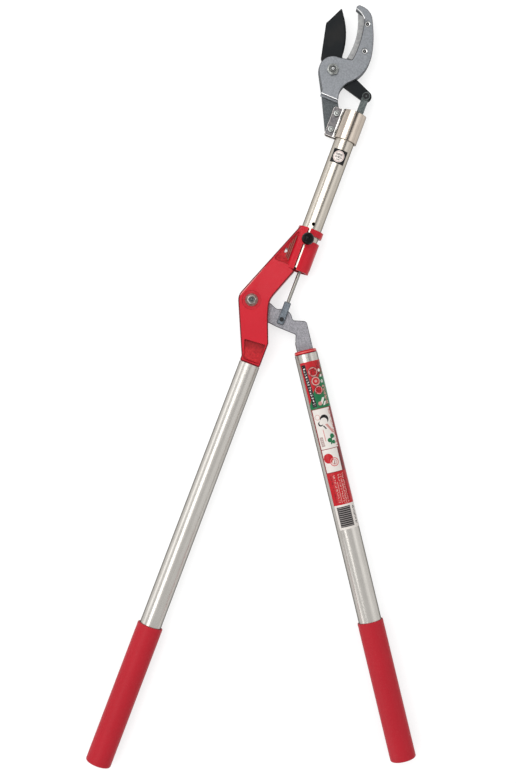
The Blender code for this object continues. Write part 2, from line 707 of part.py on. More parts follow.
def build_pole(looks, frame):
    """Aluminium pole with its lock hole, the spare index hole and a small sticker."""
    inner = POLE_RADIUS - POLE_WALL
    profile = [
        (POLE_RADIUS, POLE_LENGTH),
        (POLE_RADIUS, 0.0),
        (inner, 0.0),
        (inner, POLE_LENGTH),
    ]
    pole = add_turned("pole_tube", profile, looks["tube"], frame, (POLE_OFFSET, POLE_FOOT, 0.0),
                      closed=True, lying=True)
    for height in (LOCK_Y, LOCK_Y + INDEX_PITCH):
        drill(pole, (POLE_OFFSET, height), LOCK_HOLE_DIAMETER / 2, POLE_DIAMETER, POLE_DIAMETER / 2)
    spread = math.degrees(math.asin(STICKER_WIDTH / POLE_DIAMETER))
    middle = POLE_TOP - STICKER_DROP
    build_film("pole_sticker", looks["film"], frame, POLE_RADIUS, (-spread, spread),
               (middle - STICKER_LENGTH / 2, middle + STICKER_LENGTH / 2), POLE_OFFSET)


def build_main_pivot(looks, frame):
    """Bolt from the rear, toothed washer and nut in the front recess."""
    rear = HEAD_RECESS_DEPTH - BRACKET_FRONT - FIT
    seat = BRACKET_FRONT - BOLT_RECESS_DEPTH + FIT
    nut_foot = seat + WASHER_THICKNESS + FIT
    nut_top = nut_foot + MAIN_NUT_HEIGHT
    bolt = stack_pin("main_pivot_bolt", looks["steel"], frame, (0.0, 0.0), BOLT_DIAMETER, rear - OVERLAP,
                     nut_top + BOLT_END)
    head = hexagon_mesh("head", MAIN_NUT_FLATS, MAIN_HEAD_HEIGHT)
    combine(bolt, "UNION", head, (0.0, 0.0, rear - MAIN_HEAD_HEIGHT / 2))
    outer = WASHER_DIAMETER / 2
    teeth = [polar(outer if step % 2 else outer - TOOTH_DEPTH, 180.0 * step / WASHER_TEETH)
             for step in range(2 * WASHER_TEETH)]
    toothed = plate_mesh("main_pivot_washer", teeth, WASHER_THICKNESS)
    washer = add("main_pivot_washer", toothed, looks["steel"], frame,
                 (0.0, 0.0, seat + WASHER_THICKNESS / 2))
    drill(washer, (0.0, 0.0), BOLT_HOLE_RADIUS)
    hexagon = hexagon_mesh("main_pivot_nut", MAIN_NUT_FLATS, MAIN_NUT_HEIGHT)
    nut = add("main_pivot_nut", hexagon, looks["steel"], frame, (0.0, 0.0, nut_foot + MAIN_NUT_HEIGHT / 2))
    drill(nut, (0.0, 0.0), BOLT_HOLE_RADIUS)


# Lever and its bush

def right_point(across, along):
    """Point in the right handle's own axes, given in the tool's plane."""
    turned = turned_point((across, along), RIGHT_HANDLE_ANGLE)
    return (RIGHT_HANDLE_START[0] + turned[0], RIGHT_HANDLE_START[1] + turned[1])


def lever_outline():
    """Eye on the main pivot, boss round the clevis pin, crest, and a straight stub into the tube."""
    pin = polar(CLEVIS_ARM, CLEVIS_ANGLE)
    side = STUB_WIDTH / 2
    neck_top = (0.0250, 0.0042)
    neck_foot = (0.0291, -0.0185)
    first = tangent_direction(neck_foot, (0.0, 0.0), EYE_RADIUS, -1)
    last = tangent_direction(neck_top, (0.0, 0.0), EYE_RADIUS, 1) - 360
    corners = arc((0.0, 0.0), EYE_RADIUS, first, last)
    corners += [(*neck_top, 0.0), (0.0334, 0.0006, 0.0050)]
    corners += arc(pin, BOSS_RADIUS, 106.0, 27.0)
    corners += [
        (0.0574, -0.0052, 0.0030),
        (*right_point(side, 0.0349), 0.0045),
        (*right_point(side, -TANG_LENGTH), 0.0),
        (*right_point(-side, -TANG_LENGTH), 0.0),
        (*right_point(-side, 0.0100), 0.0060),
        (0.0667, -0.0207, 0.0018),
        (0.0400, -0.0199, 0.0200),
        (*neck_foot, 0.0),
    ]
    return rounded(corners)


def build_lever(looks, pivot):
    """Grey casting that carries the right handle and pulls the rod."""
    lever = add("lever", plate_mesh("lever", lever_outline(), LEVER_THICKNESS), looks["lever"], pivot)
    bevel(lever, LEVER_EDGE, 1)
    drill(lever, (0.0, 0.0), BUSH_RADIUS + FIT, sides=28)
    drill(lever, polar(CLEVIS_ARM, CLEVIS_ANGLE), CLEVIS_PIN_DIAMETER / 2 + FIT)
    drill(lever, right_point(-STUB_WIDTH / 2, 0.0138), STUB_NOTCH_RADIUS)
    half = LEVER_THICKNESS / 2
    inner = BOLT_HOLE_RADIUS
    profile = [(BUSH_RADIUS, half), (BUSH_RADIUS, -half), (inner, -half), (inner, half)]
    add_turned("pivot_bush", profile, looks["bush"], pivot, sides=28, closed=True)


# Push rod: built along +Y from the clevis pin

def build_rod(looks, pivot, length):
    """Clevis, pin, rod and the two straps that reach the blade's tail."""
    half_width = CLEVIS_WIDTH / 2
    body = box_mesh("clevis", CLEVIS_WIDTH, CLEVIS_HEAD + CLEVIS_FOOT, 2 * CLEVIS_FRONT)
    clevis = add("clevis", body, looks["dark_steel"], pivot, (0.0, (CLEVIS_HEAD - CLEVIS_FOOT) / 2, 0.0))
    bevel(clevis, CLEVIS_EDGE, 1)
    bridge = BOSS_RADIUS + 2 * LOOSE_FIT
    gap = box_mesh("gap", 4 * half_width, bridge + CLEVIS_FOOT + OVERRUN, 2 * SLOT_HALF)
    combine(clevis, "DIFFERENCE", gap, (0.0, (bridge - CLEVIS_FOOT - OVERRUN) / 2, 0.0))
    drill(clevis, (0.0, 0.0), CLEVIS_PIN_DIAMETER / 2 + FIT)
    socket = prism_mesh("rod_socket", ROD_DIAMETER / 2 + FIT, CLEVIS_HEAD)
    combine(clevis, "DIFFERENCE", socket, (0.0, bridge + CLEVIS_WEB + CLEVIS_HEAD / 2, 0.0), (90, 0, 0))
    pin_end = CLEVIS_FRONT + FIT + PIN_HEAD_HEIGHT
    pin = stack_pin("clevis_pin", looks["dark_steel"], pivot, (0.0, 0.0), CLEVIS_PIN_DIAMETER,
                    -pin_end, pin_end)
    for side in (-1, 1):
        head = prism_mesh("pin_head", CLEVIS_PIN_HEAD / 2, PIN_HEAD_HEIGHT)
        combine(pin, "UNION", head, (0.0, 0.0, side * (pin_end - PIN_HEAD_HEIGHT / 2 + PIN_CROWN)))
    foot = bridge + CLEVIS_WEB + FIT
    strap_foot = length - STRAP_LENGTH
    rivet_y = strap_foot + RIVET_INSET
    rod_top = strap_foot - LOOSE_FIT
    profile = [(0.0, rod_top), (ROD_DIAMETER / 2, rod_top), (ROD_DIAMETER / 2, foot), (0.0, foot)]
    rod = add_turned("push_rod", profile, looks["steel"], pivot, sides=16, lying=True)
    root = ROD_DIAMETER / 2 - FIT
    tip = TONGUE_WIDTH / 2
    tongue_outline = rounded([
        (-root, rod_top - TONGUE_ROOT, 0.0),
        (root, rod_top - TONGUE_ROOT, 0.0),
        (tip, rod_top - 0.0015, 0.002),
        (tip, rivet_y + tip, 0.003),
        (-tip, rivet_y + tip, 0.003),
        (-tip, rod_top - 0.0015, 0.002),
    ])
    combine(rod, "UNION", plate_mesh("tongue", tongue_outline, BLADE_THICKNESS))
    drill(rod, (0.0, rivet_y), RIVET_DIAMETER / 2 + FIT)
    strap_outline = arc((0.0, length), STRAP_WIDTH / 2, 0, 180, 20)
    strap_outline += arc((0.0, strap_foot + STRAP_WIDTH / 2), STRAP_WIDTH / 2, 180, 360, 20)
    strap_middle = CHEEK_FACE + STRAP_THICKNESS / 2
    for name, side in (("link_strap_front", 1), ("link_strap_rear", -1)):
        strap = add(name, plate_mesh(name, strap_outline, STRAP_THICKNESS), looks["dark_steel"], pivot,
                    (0.0, 0.0, side * strap_middle))
        drill(strap, (0.0, length), TAIL_PIN_DIAMETER / 2 + LOOSE_FIT)
        drill(strap, (0.0, rivet_y), RIVET_DIAMETER / 2 + FIT)
    end = CHEEK_FACE + STRAP_THICKNESS + FIT + RIVET_HEAD_HEIGHT
    rivet = stack_pin("rod_rivet", looks["steel"], pivot, (0.0, rivet_y), RIVET_DIAMETER, -end, end)
    for side in (-1, 1):
        head = prism_mesh("rivet_head", RIVET_HEAD_DIAMETER / 2, RIVET_HEAD_HEIGHT)
        combine(rivet, "UNION", head, (0.0, rivet_y, side * (end - RIVET_HEAD_HEIGHT / 2 + PIN_CROWN)))


# Head

def to_hook(points):
    """Points and corner radii given as shares of the hook's length, from the blade pivot."""
    return [tuple(value * HOOK_LENGTH for value in point) for point in points]


def screw_places():
    """Upper and lower anvil screw."""
    return to_hook([(0.2360, 0.7847), (0.3333, 0.4089)])


def hook_points():
    """Hook side of both cheeks, from the hub's top round the hook to the throat."""
    points = [(0.0733, 0.2062, 0.0), (0.2085, 0.2291, 0.0137)]
    points += arc_through((0.2176, 0.2806), (0.2245, 0.5040), (0.1833, 0.7789))
    points += arc_through((0.1672, 0.8419), (0.1000, 0.8990), (0.0092, 0.9380), 4)
    points += [(0.0023, 0.9691, 0.0172), (0.0344, 1.0000, 0.0172)]
    points += arc_through((0.1123, 0.9943), (0.2062, 0.9565), (0.2887, 0.8499), 4)
    points += arc_through((0.3436, 0.7331), (0.4215, 0.5155), (0.4570, 0.3436))
    points += arc_through((0.4559, 0.2635), (0.4147, 0.0939), (0.3001, -0.0664), 5)
    points += arc_through((0.2692, -0.0974), (0.2131, -0.1947), (0.2096, -0.3265), 4)
    return to_hook(points)


def build_cheek(name, finish, frame, thickness, side, foot_points, hub_radius):
    """One cheek of the head: hub, hook and its own foot."""
    corners = [(*p, 0.0) if len(p) == 2 else p for p in hook_points()] + foot_points
    first = tangent_direction(foot_points[-1], (0.0, 0.0), hub_radius, -1) % 360
    corners += arc((0.0, 0.0), hub_radius, first, 86.0)
    middle = side * (CHEEK_FACE + thickness / 2)
    cheek = add(name, plate_mesh(name, rounded(corners), thickness), finish, frame, (*BLADE_PIVOT, middle))
    bevel(cheek, HOOK_PLATE_EDGE, 1)
    drill(cheek, BLADE_PIVOT, PIVOT_BOLT_DIAMETER / 2 + FIT)
    for place in screw_places():
        drill(cheek, shifted([place], BLADE_PIVOT)[0], SCREW_DIAMETER / 2 + FIT)
    return cheek


def build_head(looks, frame):
    """Cheeks, anvil, spacer and fasteners round the blade."""
    shank_right = POLE_OFFSET - BLADE_PIVOT[0] - POLE_RADIUS - LOOSE_FIT
    collar_top = POLE_TOP + COLLAR_OVERHANG - BLADE_PIVOT[1]
    shank_foot = collar_top - COLLAR_LENGTH + SHANK_INSET
    plate_foot = to_hook([(0.2211, -0.3757, 0.0), (-0.0389, -0.3666, 0.0), (-0.0458, -0.3162, 0.0)])
    shank = to_hook([(0.2257, -0.3757, 0.0)]) + [
        (shank_right - 0.0086, collar_top + 0.0006, 0.0),
        (shank_right, collar_top - SHANK_INSET, 0.0),
        (shank_right, shank_foot, 0.0010),
        (shank_right - 0.0140, shank_foot, 0.0040),
    ] + to_hook([(-0.0149, -0.3963, 0.0687)])
    hook = build_cheek("hook_plate", looks["hook"], frame, HOOK_PLATE_THICKNESS, 1, plate_foot,
                       HUB_RADIUS)
    base = build_cheek("head_base", looks["base"], frame, HEAD_BASE_THICKNESS, -1, shank,
                       BASE_HUB_RADIUS)
    for place in screw_places():
        spot = shifted([place], BLADE_PIVOT)[0]
        drill(hook, spot, SCREW_HEAD_DIAMETER / 2 + FIT, 0.01, SCREW_FLOOR + 0.005)
    for height in collar_bolt_heights():
        drill(base, (POLE_OFFSET - COLLAR_BOLT_OFFSET, height), COLLAR_BOLT_DIAMETER / 2 + FIT)
    build_anvil(looks, frame)
    spacer = rounded(to_hook([
        (-0.0389, -0.3952, 0.0057), (0.2268, -0.4044, 0.0057), (0.2131, -0.3242, 0.0),
        (-0.0550, -0.2692, 0.0),
    ]))
    add("head_spacer", plate_mesh("head_spacer", spacer, BLADE_THICKNESS), looks["hook"], frame,
        (*BLADE_PIVOT, 0.0))
    rear = -HEAD_BASE_REAR - FIT
    nut_foot = HOOK_PLATE_FRONT + FIT
    bolt = stack_pin("blade_pivot_bolt", looks["steel"], frame, BLADE_PIVOT, PIVOT_BOLT_DIAMETER,
                     rear - OVERLAP, nut_foot + PIVOT_NUT_HEIGHT + BOLT_END)
    head = prism_mesh("head", PIVOT_HEAD_DIAMETER / 2, PIVOT_HEAD_HEIGHT, 24)
    combine(bolt, "UNION", head, (*BLADE_PIVOT, rear - PIVOT_HEAD_HEIGHT / 2))
    key = hexagon_mesh("key", PIVOT_KEY_FLATS, 2 * PIVOT_KEY_DEPTH)
    combine(bolt, "DIFFERENCE", key, (*BLADE_PIVOT, rear - PIVOT_HEAD_HEIGHT))
    nut = hexagon_mesh("blade_pivot_nut", PIVOT_NUT_FLATS, PIVOT_NUT_HEIGHT)
    made = add("blade_pivot_nut", nut, looks["steel"], frame,
               (*BLADE_PIVOT, nut_foot + PIVOT_NUT_HEIGHT / 2))
    drill(made, BLADE_PIVOT, PIVOT_BOLT_DIAMETER / 2 + FIT)


def blade_edge():
    """Cutting edge from the tip to its heel: an arc, from the blade pivot."""
    return to_hook(arc_through((-0.1947, 0.8820), (-0.0286, 0.6277), (0.0584, 0.2428), 8))


def build_anvil(looks, frame):
    """Anvil strip: its face is the blade's edge turned to the closed place, held off by a clearance."""
    edge = blade_edge()
    centre, radius = circle_through(edge[0], edge[4], edge[-1])
    centre = turned_point(centre, -BLADE_CLOSING)
    upper = direction(centre, turned_point(edge[0], -BLADE_CLOSING))
    lower = direction(centre, turned_point(edge[-1], -BLADE_CLOSING))
    face = arc(centre, radius + FIT, upper - ANVIL_TIP_ANGLE, lower + ANVIL_HEEL_ANGLE, 6.0)
    corners = [(*p, 0.0) for p in face]
    corners += [(face[-1][0] + ANVIL_HEEL_STEP, edge[-1][1], 0.0)]
    back = [(0.3952, 0.2428, 0.0344)]
    back += arc_through((0.4032, 0.3436), (0.3780, 0.5155), (0.3001, 0.7159), 3)
    back += [(0.2463, 0.8763, 0.0458)]
    corners += to_hook(back)
    corners += [(face[0][0] + ANVIL_TIP_STEP[0], face[0][1] + ANVIL_TIP_STEP[1], 0.0)]
    anvil = add("anvil", plate_mesh("anvil", rounded(corners), BLADE_THICKNESS), looks["anvil"], frame,
                (*BLADE_PIVOT, 0.0))
    rear = -HEAD_BASE_REAR + SCREW_END_INSET
    for name, place in zip(("anvil_screw_upper", "anvil_screw_lower"), screw_places()):
        spot = shifted([place], BLADE_PIVOT)[0]
        drill(anvil, spot, SCREW_DIAMETER / 2 + FIT)
        screw = stack_pin(name, looks["steel"], frame, spot, SCREW_DIAMETER, rear,
                          SCREW_FLOOR + FIT + SCREW_NECK)
        head = prism_mesh("screw_head", SCREW_HEAD_DIAMETER / 2, SCREW_HEAD_HEIGHT - FIT)
        top = SCREW_FLOOR + SCREW_HEAD_HEIGHT
        combine(screw, "UNION", head, (*spot, (SCREW_FLOOR + FIT + top) / 2))
        combine(screw, "DIFFERENCE", hexagon_mesh("key", SCREW_KEY_FLATS, 2 * SCREW_KEY_DEPTH), (*spot, top))


def build_blade(looks, pivot):
    """Blade: a plate whose edge is ground from both faces, lofted between the faces and a thin land."""
    tail = polar(TAIL_ARM, TAIL_ANGLE)
    edge = blade_edge()
    back = rounded([edge[0]] + to_hook([(-0.3265, 0.6071, 0.0344), (-0.2176, 0.1065, 0.0)]))[-5:]
    heel = arc((0.0, 0.0), HEEL_RADIUS, 166.0, 312.0)
    waist, neck, shoulder = to_hook([(0.3540, 0.0034), (0.1718, 0.0916), (0.0974, 0.1718)])
    upper = tangent_direction(waist, tail, TAIL_RADIUS, -1)
    tail_end = arc(tail, TAIL_RADIUS, -103.0, upper, 18.0)
    body = back + heel + tail_end + [neck, shoulder]
    outline = edge[::-1] + body
    count = len(edge)
    inset = []
    for index, place in enumerate(outline):
        if 0 < index < count:
            before, after = outline[index - 1], outline[index + 1]
            run = Vector((after[0] - before[0], after[1] - before[1])).normalized()
            inset.append((place[0] - run.y * BLADE_GRIND, place[1] + run.x * BLADE_GRIND))
        else:
            inset.append(place)
    half, land = BLADE_THICKNESS / 2, BLADE_EDGE / 2
    shape = bmesh.new()
    rings = []
    for points, height in ((inset, half), (outline, land), (outline, -land), (inset, -half)):
        rings.append([shape.verts.new((x, y, height)) for x, y in points])
    for front, rear in zip(rings, rings[1:]):
        for i in range(len(outline)):
            j = (i + 1) % len(outline)
            shape.faces.new((front[i], front[j], rear[j], rear[i]))
    shape.faces.new(rings[0])
    shape.faces.new(rings[-1][::-1])
    bmesh.ops.recalc_face_normals(shape, faces=shape.faces)
    mesh = bpy.data.meshes.new("blade")
    shape.to_mesh(mesh)
    shape.free()
    blade = add("blade", mesh, looks["blade"], pivot)
    drill(blade, (0.0, 0.0), PIVOT_BOLT_DIAMETER / 2 + FIT, sides=28)
    drill(blade, tail, TAIL_PIN_DIAMETER / 2 + FIT)
    face = CHEEK_FACE + STRAP_THICKNESS + FIT
    end = face + TAIL_PIN_HEAD_HEIGHT
    pin = stack_pin("tail_pin", looks["dark_steel"], pivot, tail, TAIL_PIN_DIAMETER, -end, end)
    for side, diameter in ((1, TAIL_PIN_HEAD), (-1, 0.9 * TAIL_PIN_HEAD)):
        head = prism_mesh("pin_head", diameter / 2, TAIL_PIN_HEAD_HEIGHT, 24)
        combine(pin, "UNION", head, (*tail, side * (end - TAIL_PIN_HEAD_HEIGHT / 2 + PIN_CROWN)))


# Collar

def collar_bolt_heights():
    """Heights of the two clamp bolts along the pole."""
    middle = POLE_TOP + COLLAR_OVERHANG - COLLAR_LENGTH / 2
    return (middle + COLLAR_BOLT_PITCH / 2, middle - COLLAR_BOLT_PITCH / 2)


def build_collar(looks, frame):
    """Folded stainless sheet: front flange, wrap round the pole, rear flange, and the two clamp bolts."""
    wrap = BORE_RADIUS + COLLAR_SHEET / 2
    front = -CHEEK_FACE + FIT + COLLAR_SHEET / 2
    rear = -HEAD_BASE_REAR - FIT - COLLAR_SHEET / 2
    start = 180.0 - math.degrees(math.asin(front / wrap))
    stop = -180.0 - math.degrees(math.asin(rear / wrap))
    corner = [polar(COLLAR_CORNER, angle) for angle in (0, 36, 63, 90)]
    flange = [(COLLAR_CORNER - across - COLLAR_FLANGE, COLLAR_CORNER - along) for across, along in corner]
    path = [(across, front, inset) for across, inset in flange]
    path += [(across, height, 0.0) for across, height in arc((0.0, 0.0), wrap, start, stop, 14.0)]
    path += [(across, rear, inset) for across, inset in reversed(flange)]
    mesh = bpy.data.meshes.new("head_collar")
    places = []
    for across, height, inset in path:
        places += [(across, inset - COLLAR_LENGTH, height), (across, -inset, height)]
    faces = [(2 * i, 2 * i + 1, 2 * i + 3, 2 * i + 2) for i in range(len(path) - 1)]
    mesh.from_pydata(places, [], faces)
    top = POLE_TOP + COLLAR_OVERHANG
    collar = add("head_collar", mesh, looks["stainless"], frame, (POLE_OFFSET, top, 0.0))
    sheet = collar.modifiers.new("sheet", "SOLIDIFY")
    sheet.thickness = COLLAR_SHEET
    sheet.offset = 0.0
    sheet.use_even_offset = True
    bevel(collar, COLLAR_EDGE, 1)
    under = rear - COLLAR_SHEET / 2 - FIT
    nut_foot = front + COLLAR_SHEET / 2 + FIT
    for name, height in zip(("upper", "lower"), collar_bolt_heights()):
        spot = (POLE_OFFSET - COLLAR_BOLT_OFFSET, height)
        drill(collar, spot, COLLAR_BOLT_DIAMETER / 2 + FIT)
        bolt = stack_pin("collar_bolt_" + name, looks["steel"], frame, spot, COLLAR_BOLT_DIAMETER,
                         under - OVERLAP, nut_foot + COLLAR_NUT_HEIGHT + BOLT_END)
        head = hexagon_mesh("head", COLLAR_NUT_FLATS, COLLAR_HEAD_HEIGHT)
        combine(bolt, "UNION", head, (*spot, under - COLLAR_HEAD_HEIGHT / 2))
        nut_mesh = hexagon_mesh("collar_nut_" + name, COLLAR_NUT_FLATS, COLLAR_NUT_HEIGHT)
        nut = add("collar_nut_" + name, nut_mesh, looks["steel"], frame,
                  (*spot, nut_foot + COLLAR_NUT_HEIGHT / 2))
        drill(nut, spot, COLLAR_BOLT_DIAMETER / 2 + FIT)


# Spring lock

def build_lock(looks, frame):
    """Barrel in the boss, a ball knob on a stepped pin, and the spring that holds the pin in the pole."""
    axis = (POLE_OFFSET, LOCK_Y)
    base = POLE_RADIUS + FIT
    top = base + BARREL_LENGTH
    cap = top - BARREL_CAP
    outer, bore = BARREL_DIAMETER / 2, BARREL_BORE / 2
    stem = LOCK_STEM_DIAMETER / 2
    guide = stem + FIT
    profile = [(outer, top), (outer, base), (bore, base), (bore, cap), (guide, cap), (guide, top)]
    add_turned("lock_barrel", profile, looks["steel"], frame, (*axis, 0.0), sides=24, closed=True)
    slide = empty("lock_slide", frame, (*axis, 0.0))
    tip_foot = POLE_RADIUS - POLE_WALL - LOCK_TIP_REACH
    flange_foot = base + LOCK_FLANGE_RISE
    flange_top = flange_foot + LOCK_FLANGE_THICKNESS
    knob_centre = top + KNOB_RISE
    knob = KNOB_DIAMETER / 2
    hollow = outer + LOOSE_FIT
    roof = top + LOOSE_FIT
    stem_top = knob_centre + knob * 0.55
    flange, tip = LOCK_FLANGE_DIAMETER / 2, LOCK_TIP_DIAMETER / 2
    pin_profile = [(0.0, stem_top), (stem, stem_top), (stem, flange_top), (flange, flange_top),
                   (flange, flange_foot), (tip, flange_foot), (tip, tip_foot + 0.0005),
                   (tip - 0.0005, tip_foot), (0.0, tip_foot)]
    add_turned("lock_pin", pin_profile, looks["steel"], slide, sides=20)
    lowest = -math.degrees(math.acos(hollow / knob))
    ball = [polar(knob, 90 + (lowest - 90) * i / 10, (0.0, knob_centre)) for i in range(11)]
    ball[0] = (0.0, knob_centre + knob)
    ball += [(hollow, roof), (guide, roof), (guide, stem_top + FIT), (0.0, stem_top + FIT)]
    add_turned("lock_knob", ball, looks["knob"], slide, sides=22)
    wire = SPRING_WIRE / 2
    mean = (stem + bore) / 2
    foot = flange_top + wire + FIT
    rise = cap - wire - FIT - foot
    count = 8 * SPRING_TURNS
    build_spring(looks["steel"], slide, mean, wire, foot, rise, count)


def build_spring(finish, slide, mean, wire, foot, rise, count):
    """Compression spring from a helix."""
    curve = bpy.data.curves.new("lock_spring", "CURVE")
    curve.dimensions = "3D"
    curve.bevel_depth = wire
    curve.bevel_resolution = 1
    curve.use_fill_caps = True
    spline = curve.splines.new("POLY")
    spline.points.add(count)
    for step, point in enumerate(spline.points):
        x, y = polar(mean, 360.0 * SPRING_TURNS * step / count)
        point.co = (x, y, foot + rise * step / count, 1.0)
    drawn = bpy.data.objects.new("lock_spring_path", curve)
    bpy.context.scene.collection.objects.link(drawn)
    graph = bpy.context.evaluated_depsgraph_get()
    mesh = bpy.data.meshes.new_from_object(drawn.evaluated_get(graph))
    bpy.data.objects.remove(drawn)
    bpy.data.curves.remove(curve)
    add("lock_spring", weld(mesh), finish, slide)


# Assembly

def shade_round():
    """Smooth shading on every piece, with its corners kept sharp."""
    for piece in PARTS.objects:
        if piece.type == "MESH" and piece.data.polygons:
            piece.data.shade_smooth()
            piece.data.set_sharp_from_angle(angle=math.radians(35.0))


def stand_on_origin(root):
    """Move the whole tool so that the middle of its underside is the origin."""
    bpy.context.view_layer.update()
    graph = bpy.context.evaluated_depsgraph_get()
    places = []
    for piece in PARTS.objects:
        if piece.type == "MESH":
            shown = piece.evaluated_get(graph)
            places += [shown.matrix_world @ vertex.co for vertex in shown.data.vertices]
    low = [min(place[axis] for place in places) for axis in range(3)]
    high = [max(place[axis] for place in places) for axis in range(3)]
    root.location = (-(low[0] + high[0]) / 2, -(low[1] + high[1]) / 2, -low[2])
    bpy.context.view_layer.update()


def main():
    """Build the lopper as photographed, with the blade open."""
    looks = finishes()
    frame = empty("main_pivot_axis")
    lever_pivot = empty("lever_pivot", frame)
    clevis_place = polar(CLEVIS_ARM, CLEVIS_ANGLE)
    tail_place = shifted([polar(TAIL_ARM, TAIL_ANGLE)], BLADE_PIVOT)[0]
    rod_length = math.dist(clevis_place, tail_place)
    rod_turn = direction(clevis_place, tail_place) - 90.0
    rod_pivot = empty("rod_pivot", lever_pivot, (*clevis_place, 0.0), rod_turn)
    blade_pivot = empty("blade_pivot", frame, (*BLADE_PIVOT, 0.0))
    build_bracket(looks, frame)
    build_main_pivot(looks, frame)
    build_handles(looks, frame, lever_pivot)
    build_pole(looks, frame)
    build_lever(looks, lever_pivot)
    build_rod(looks, rod_pivot, rod_length)
    build_head(looks, frame)
    build_blade(looks, blade_pivot)
    build_collar(looks, frame)
    build_lock(looks, frame)
    shade_round()
    stand_on_origin(frame)


main()
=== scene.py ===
"""Looks of a two-handed pole lopper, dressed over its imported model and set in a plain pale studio.

The tool lies on its back: +Y runs along the pole towards the blade, +X towards the moving handle, +Z up.
Sizes are in metres. Each sub-assembly is a class that builds its own pieces and dresses them in a finish.
"""

import logging
import math
from dataclasses import dataclass, field, replace
from enum import Enum
from typing import Any, Callable, Sequence

import bmesh
import bpy
from mathutils import Matrix, Vector


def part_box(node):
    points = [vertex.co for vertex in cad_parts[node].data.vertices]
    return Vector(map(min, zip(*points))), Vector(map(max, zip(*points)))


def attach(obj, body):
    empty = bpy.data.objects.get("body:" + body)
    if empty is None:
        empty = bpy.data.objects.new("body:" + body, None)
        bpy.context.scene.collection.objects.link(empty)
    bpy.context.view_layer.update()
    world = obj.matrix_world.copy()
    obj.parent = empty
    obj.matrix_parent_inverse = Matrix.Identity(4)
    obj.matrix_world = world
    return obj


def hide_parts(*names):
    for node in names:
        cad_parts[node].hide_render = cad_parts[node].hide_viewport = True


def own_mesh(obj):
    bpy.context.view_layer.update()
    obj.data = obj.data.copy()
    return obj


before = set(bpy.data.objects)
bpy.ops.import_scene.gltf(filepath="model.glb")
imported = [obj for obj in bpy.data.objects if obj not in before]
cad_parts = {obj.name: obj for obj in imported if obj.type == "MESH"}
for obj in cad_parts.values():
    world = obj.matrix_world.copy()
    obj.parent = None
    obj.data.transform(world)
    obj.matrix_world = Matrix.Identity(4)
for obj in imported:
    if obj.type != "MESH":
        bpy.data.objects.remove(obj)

LOG = logging.getLogger("pole_lopper")
Point = tuple[float, float]
Spot = tuple[float, float, float]
Colour = tuple[float, float, float]
Pair = tuple[str, str]
Choice = Callable[[Vector, Vector], bool]
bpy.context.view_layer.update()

MIDDLE = 0.0163  # height of the tool's middle plane
FILM = 0.0002  # thickness of a printed film
FIT = 0.0003  # gap between pieces that fit into each other
RIM = 0.0002  # chamfer at the end of a tube
PLAY = 0.0001  # gap between a nut and its bolt
LEVEL_FIT = 0.0002  # how far the faces of one plane may lie off it
CAST_SHARP = 34.0  # least angle of a casting's corner, in degrees
NOISE_SPAN = (0.3, 0.7)  # values that most of a noise lies between
FLAT = 0.995  # least cosine between normals that count as the same
MILLIMETRES = 1000.0  # in a metre


# Shader graphs


class Graph:
    """Node tree under construction, with short calls for the nodes that the finishes use."""

    def __init__(self, tree: bpy.types.NodeTree) -> None:
        """Take a material's or a group's node tree to build in."""
        self.tree = tree

    def node(self, kind: str, settings: dict[str, Any] | None = None, **inputs: Any) -> bpy.types.Node:
        """Add a node and fill its inputs.

        Args:
            kind: Blender's name for the node.
            settings: attributes of the node itself.
            inputs: values or sockets by input name, with an underscore for a space.

        Returns:
            The new node.
        """
        made = self.tree.nodes.new(kind)
        for key, value in (settings or {}).items():
            setattr(made, key, value)
        for key, value in inputs.items():
            self.feed(made.inputs[key.replace("_", " ")], value)
        return made

    def feed(self, socket: bpy.types.NodeSocket, value: Any) -> None:
        """Link a socket to another, or set its value.

        Args:
            socket: the input.
            value: a socket or a plain value.
        """
        if isinstance(value, bpy.types.NodeSocket):
            self.tree.links.new(value, socket)
        else:
            socket.default_value = value

    def maths(self, operation: str, first: Any, second: Any = 0.0, clamp: bool = False) -> bpy.types.NodeSocket:
        """Combine two values.

        Args:
            operation: Blender's name for the sum.
            first: value or socket.
            second: value or socket.
            clamp: whether to keep the result between 0 and 1.

        Returns:
            The result's socket.
        """
        made = self.node("ShaderNodeMath", {"operation": operation, "use_clamp": clamp})
        self.feed(made.inputs[0], first)
        self.feed(made.inputs[1], second)
        return made.outputs[0]

    def ranged(self, value: Any, low: Any, high: Any, start: float = 0.0, stop: float = 1.0,
               smooth: bool = False) -> bpy.types.NodeSocket:
        """Spread a value from one range to another, held inside it.

        Args:
            value: the socket to spread.
            low: value that becomes start.
            high: value that becomes stop.
            start: result at low.
            stop: result at high.
            smooth: whether the ends are eased.

        Returns:
            The result's socket.
        """
        kind = "SMOOTHSTEP" if smooth else "LINEAR"
        made = self.node("ShaderNodeMapRange", {"interpolation_type": kind}, Value=value, From_Min=low,
                         From_Max=high, To_Min=start, To_Max=stop)
        return made.outputs[0]

    def blend(self, share: Any, under: Any, over: Any) -> bpy.types.NodeSocket:
        """Lay one colour over another.

        Args:
            share: how much of the upper colour shows.
            under: lower colour or socket.
            over: upper colour or socket.

        Returns:
            The mixed colour's socket.
        """
        made = self.node("ShaderNodeMix", {"data_type": "RGBA"})
        self.feed(made.inputs[0], share)
        self.feed(made.inputs[6], (*under, 1.0) if isinstance(under, tuple) else under)
        self.feed(made.inputs[7], (*over, 1.0) if isinstance(over, tuple) else over)
        return made.outputs[2]

    def noise(self, place: Any, scale: Any, detail: float = 2.0, rough: float = 0.5) -> bpy.types.NodeSocket:
        """Smooth random value at a place, with features per metre, octaves and the finer octaves' share."""
        made = self.node("ShaderNodeTexNoise", None, Vector=place, Scale=scale, Detail=detail, Roughness=rough)
        return made.outputs[0]


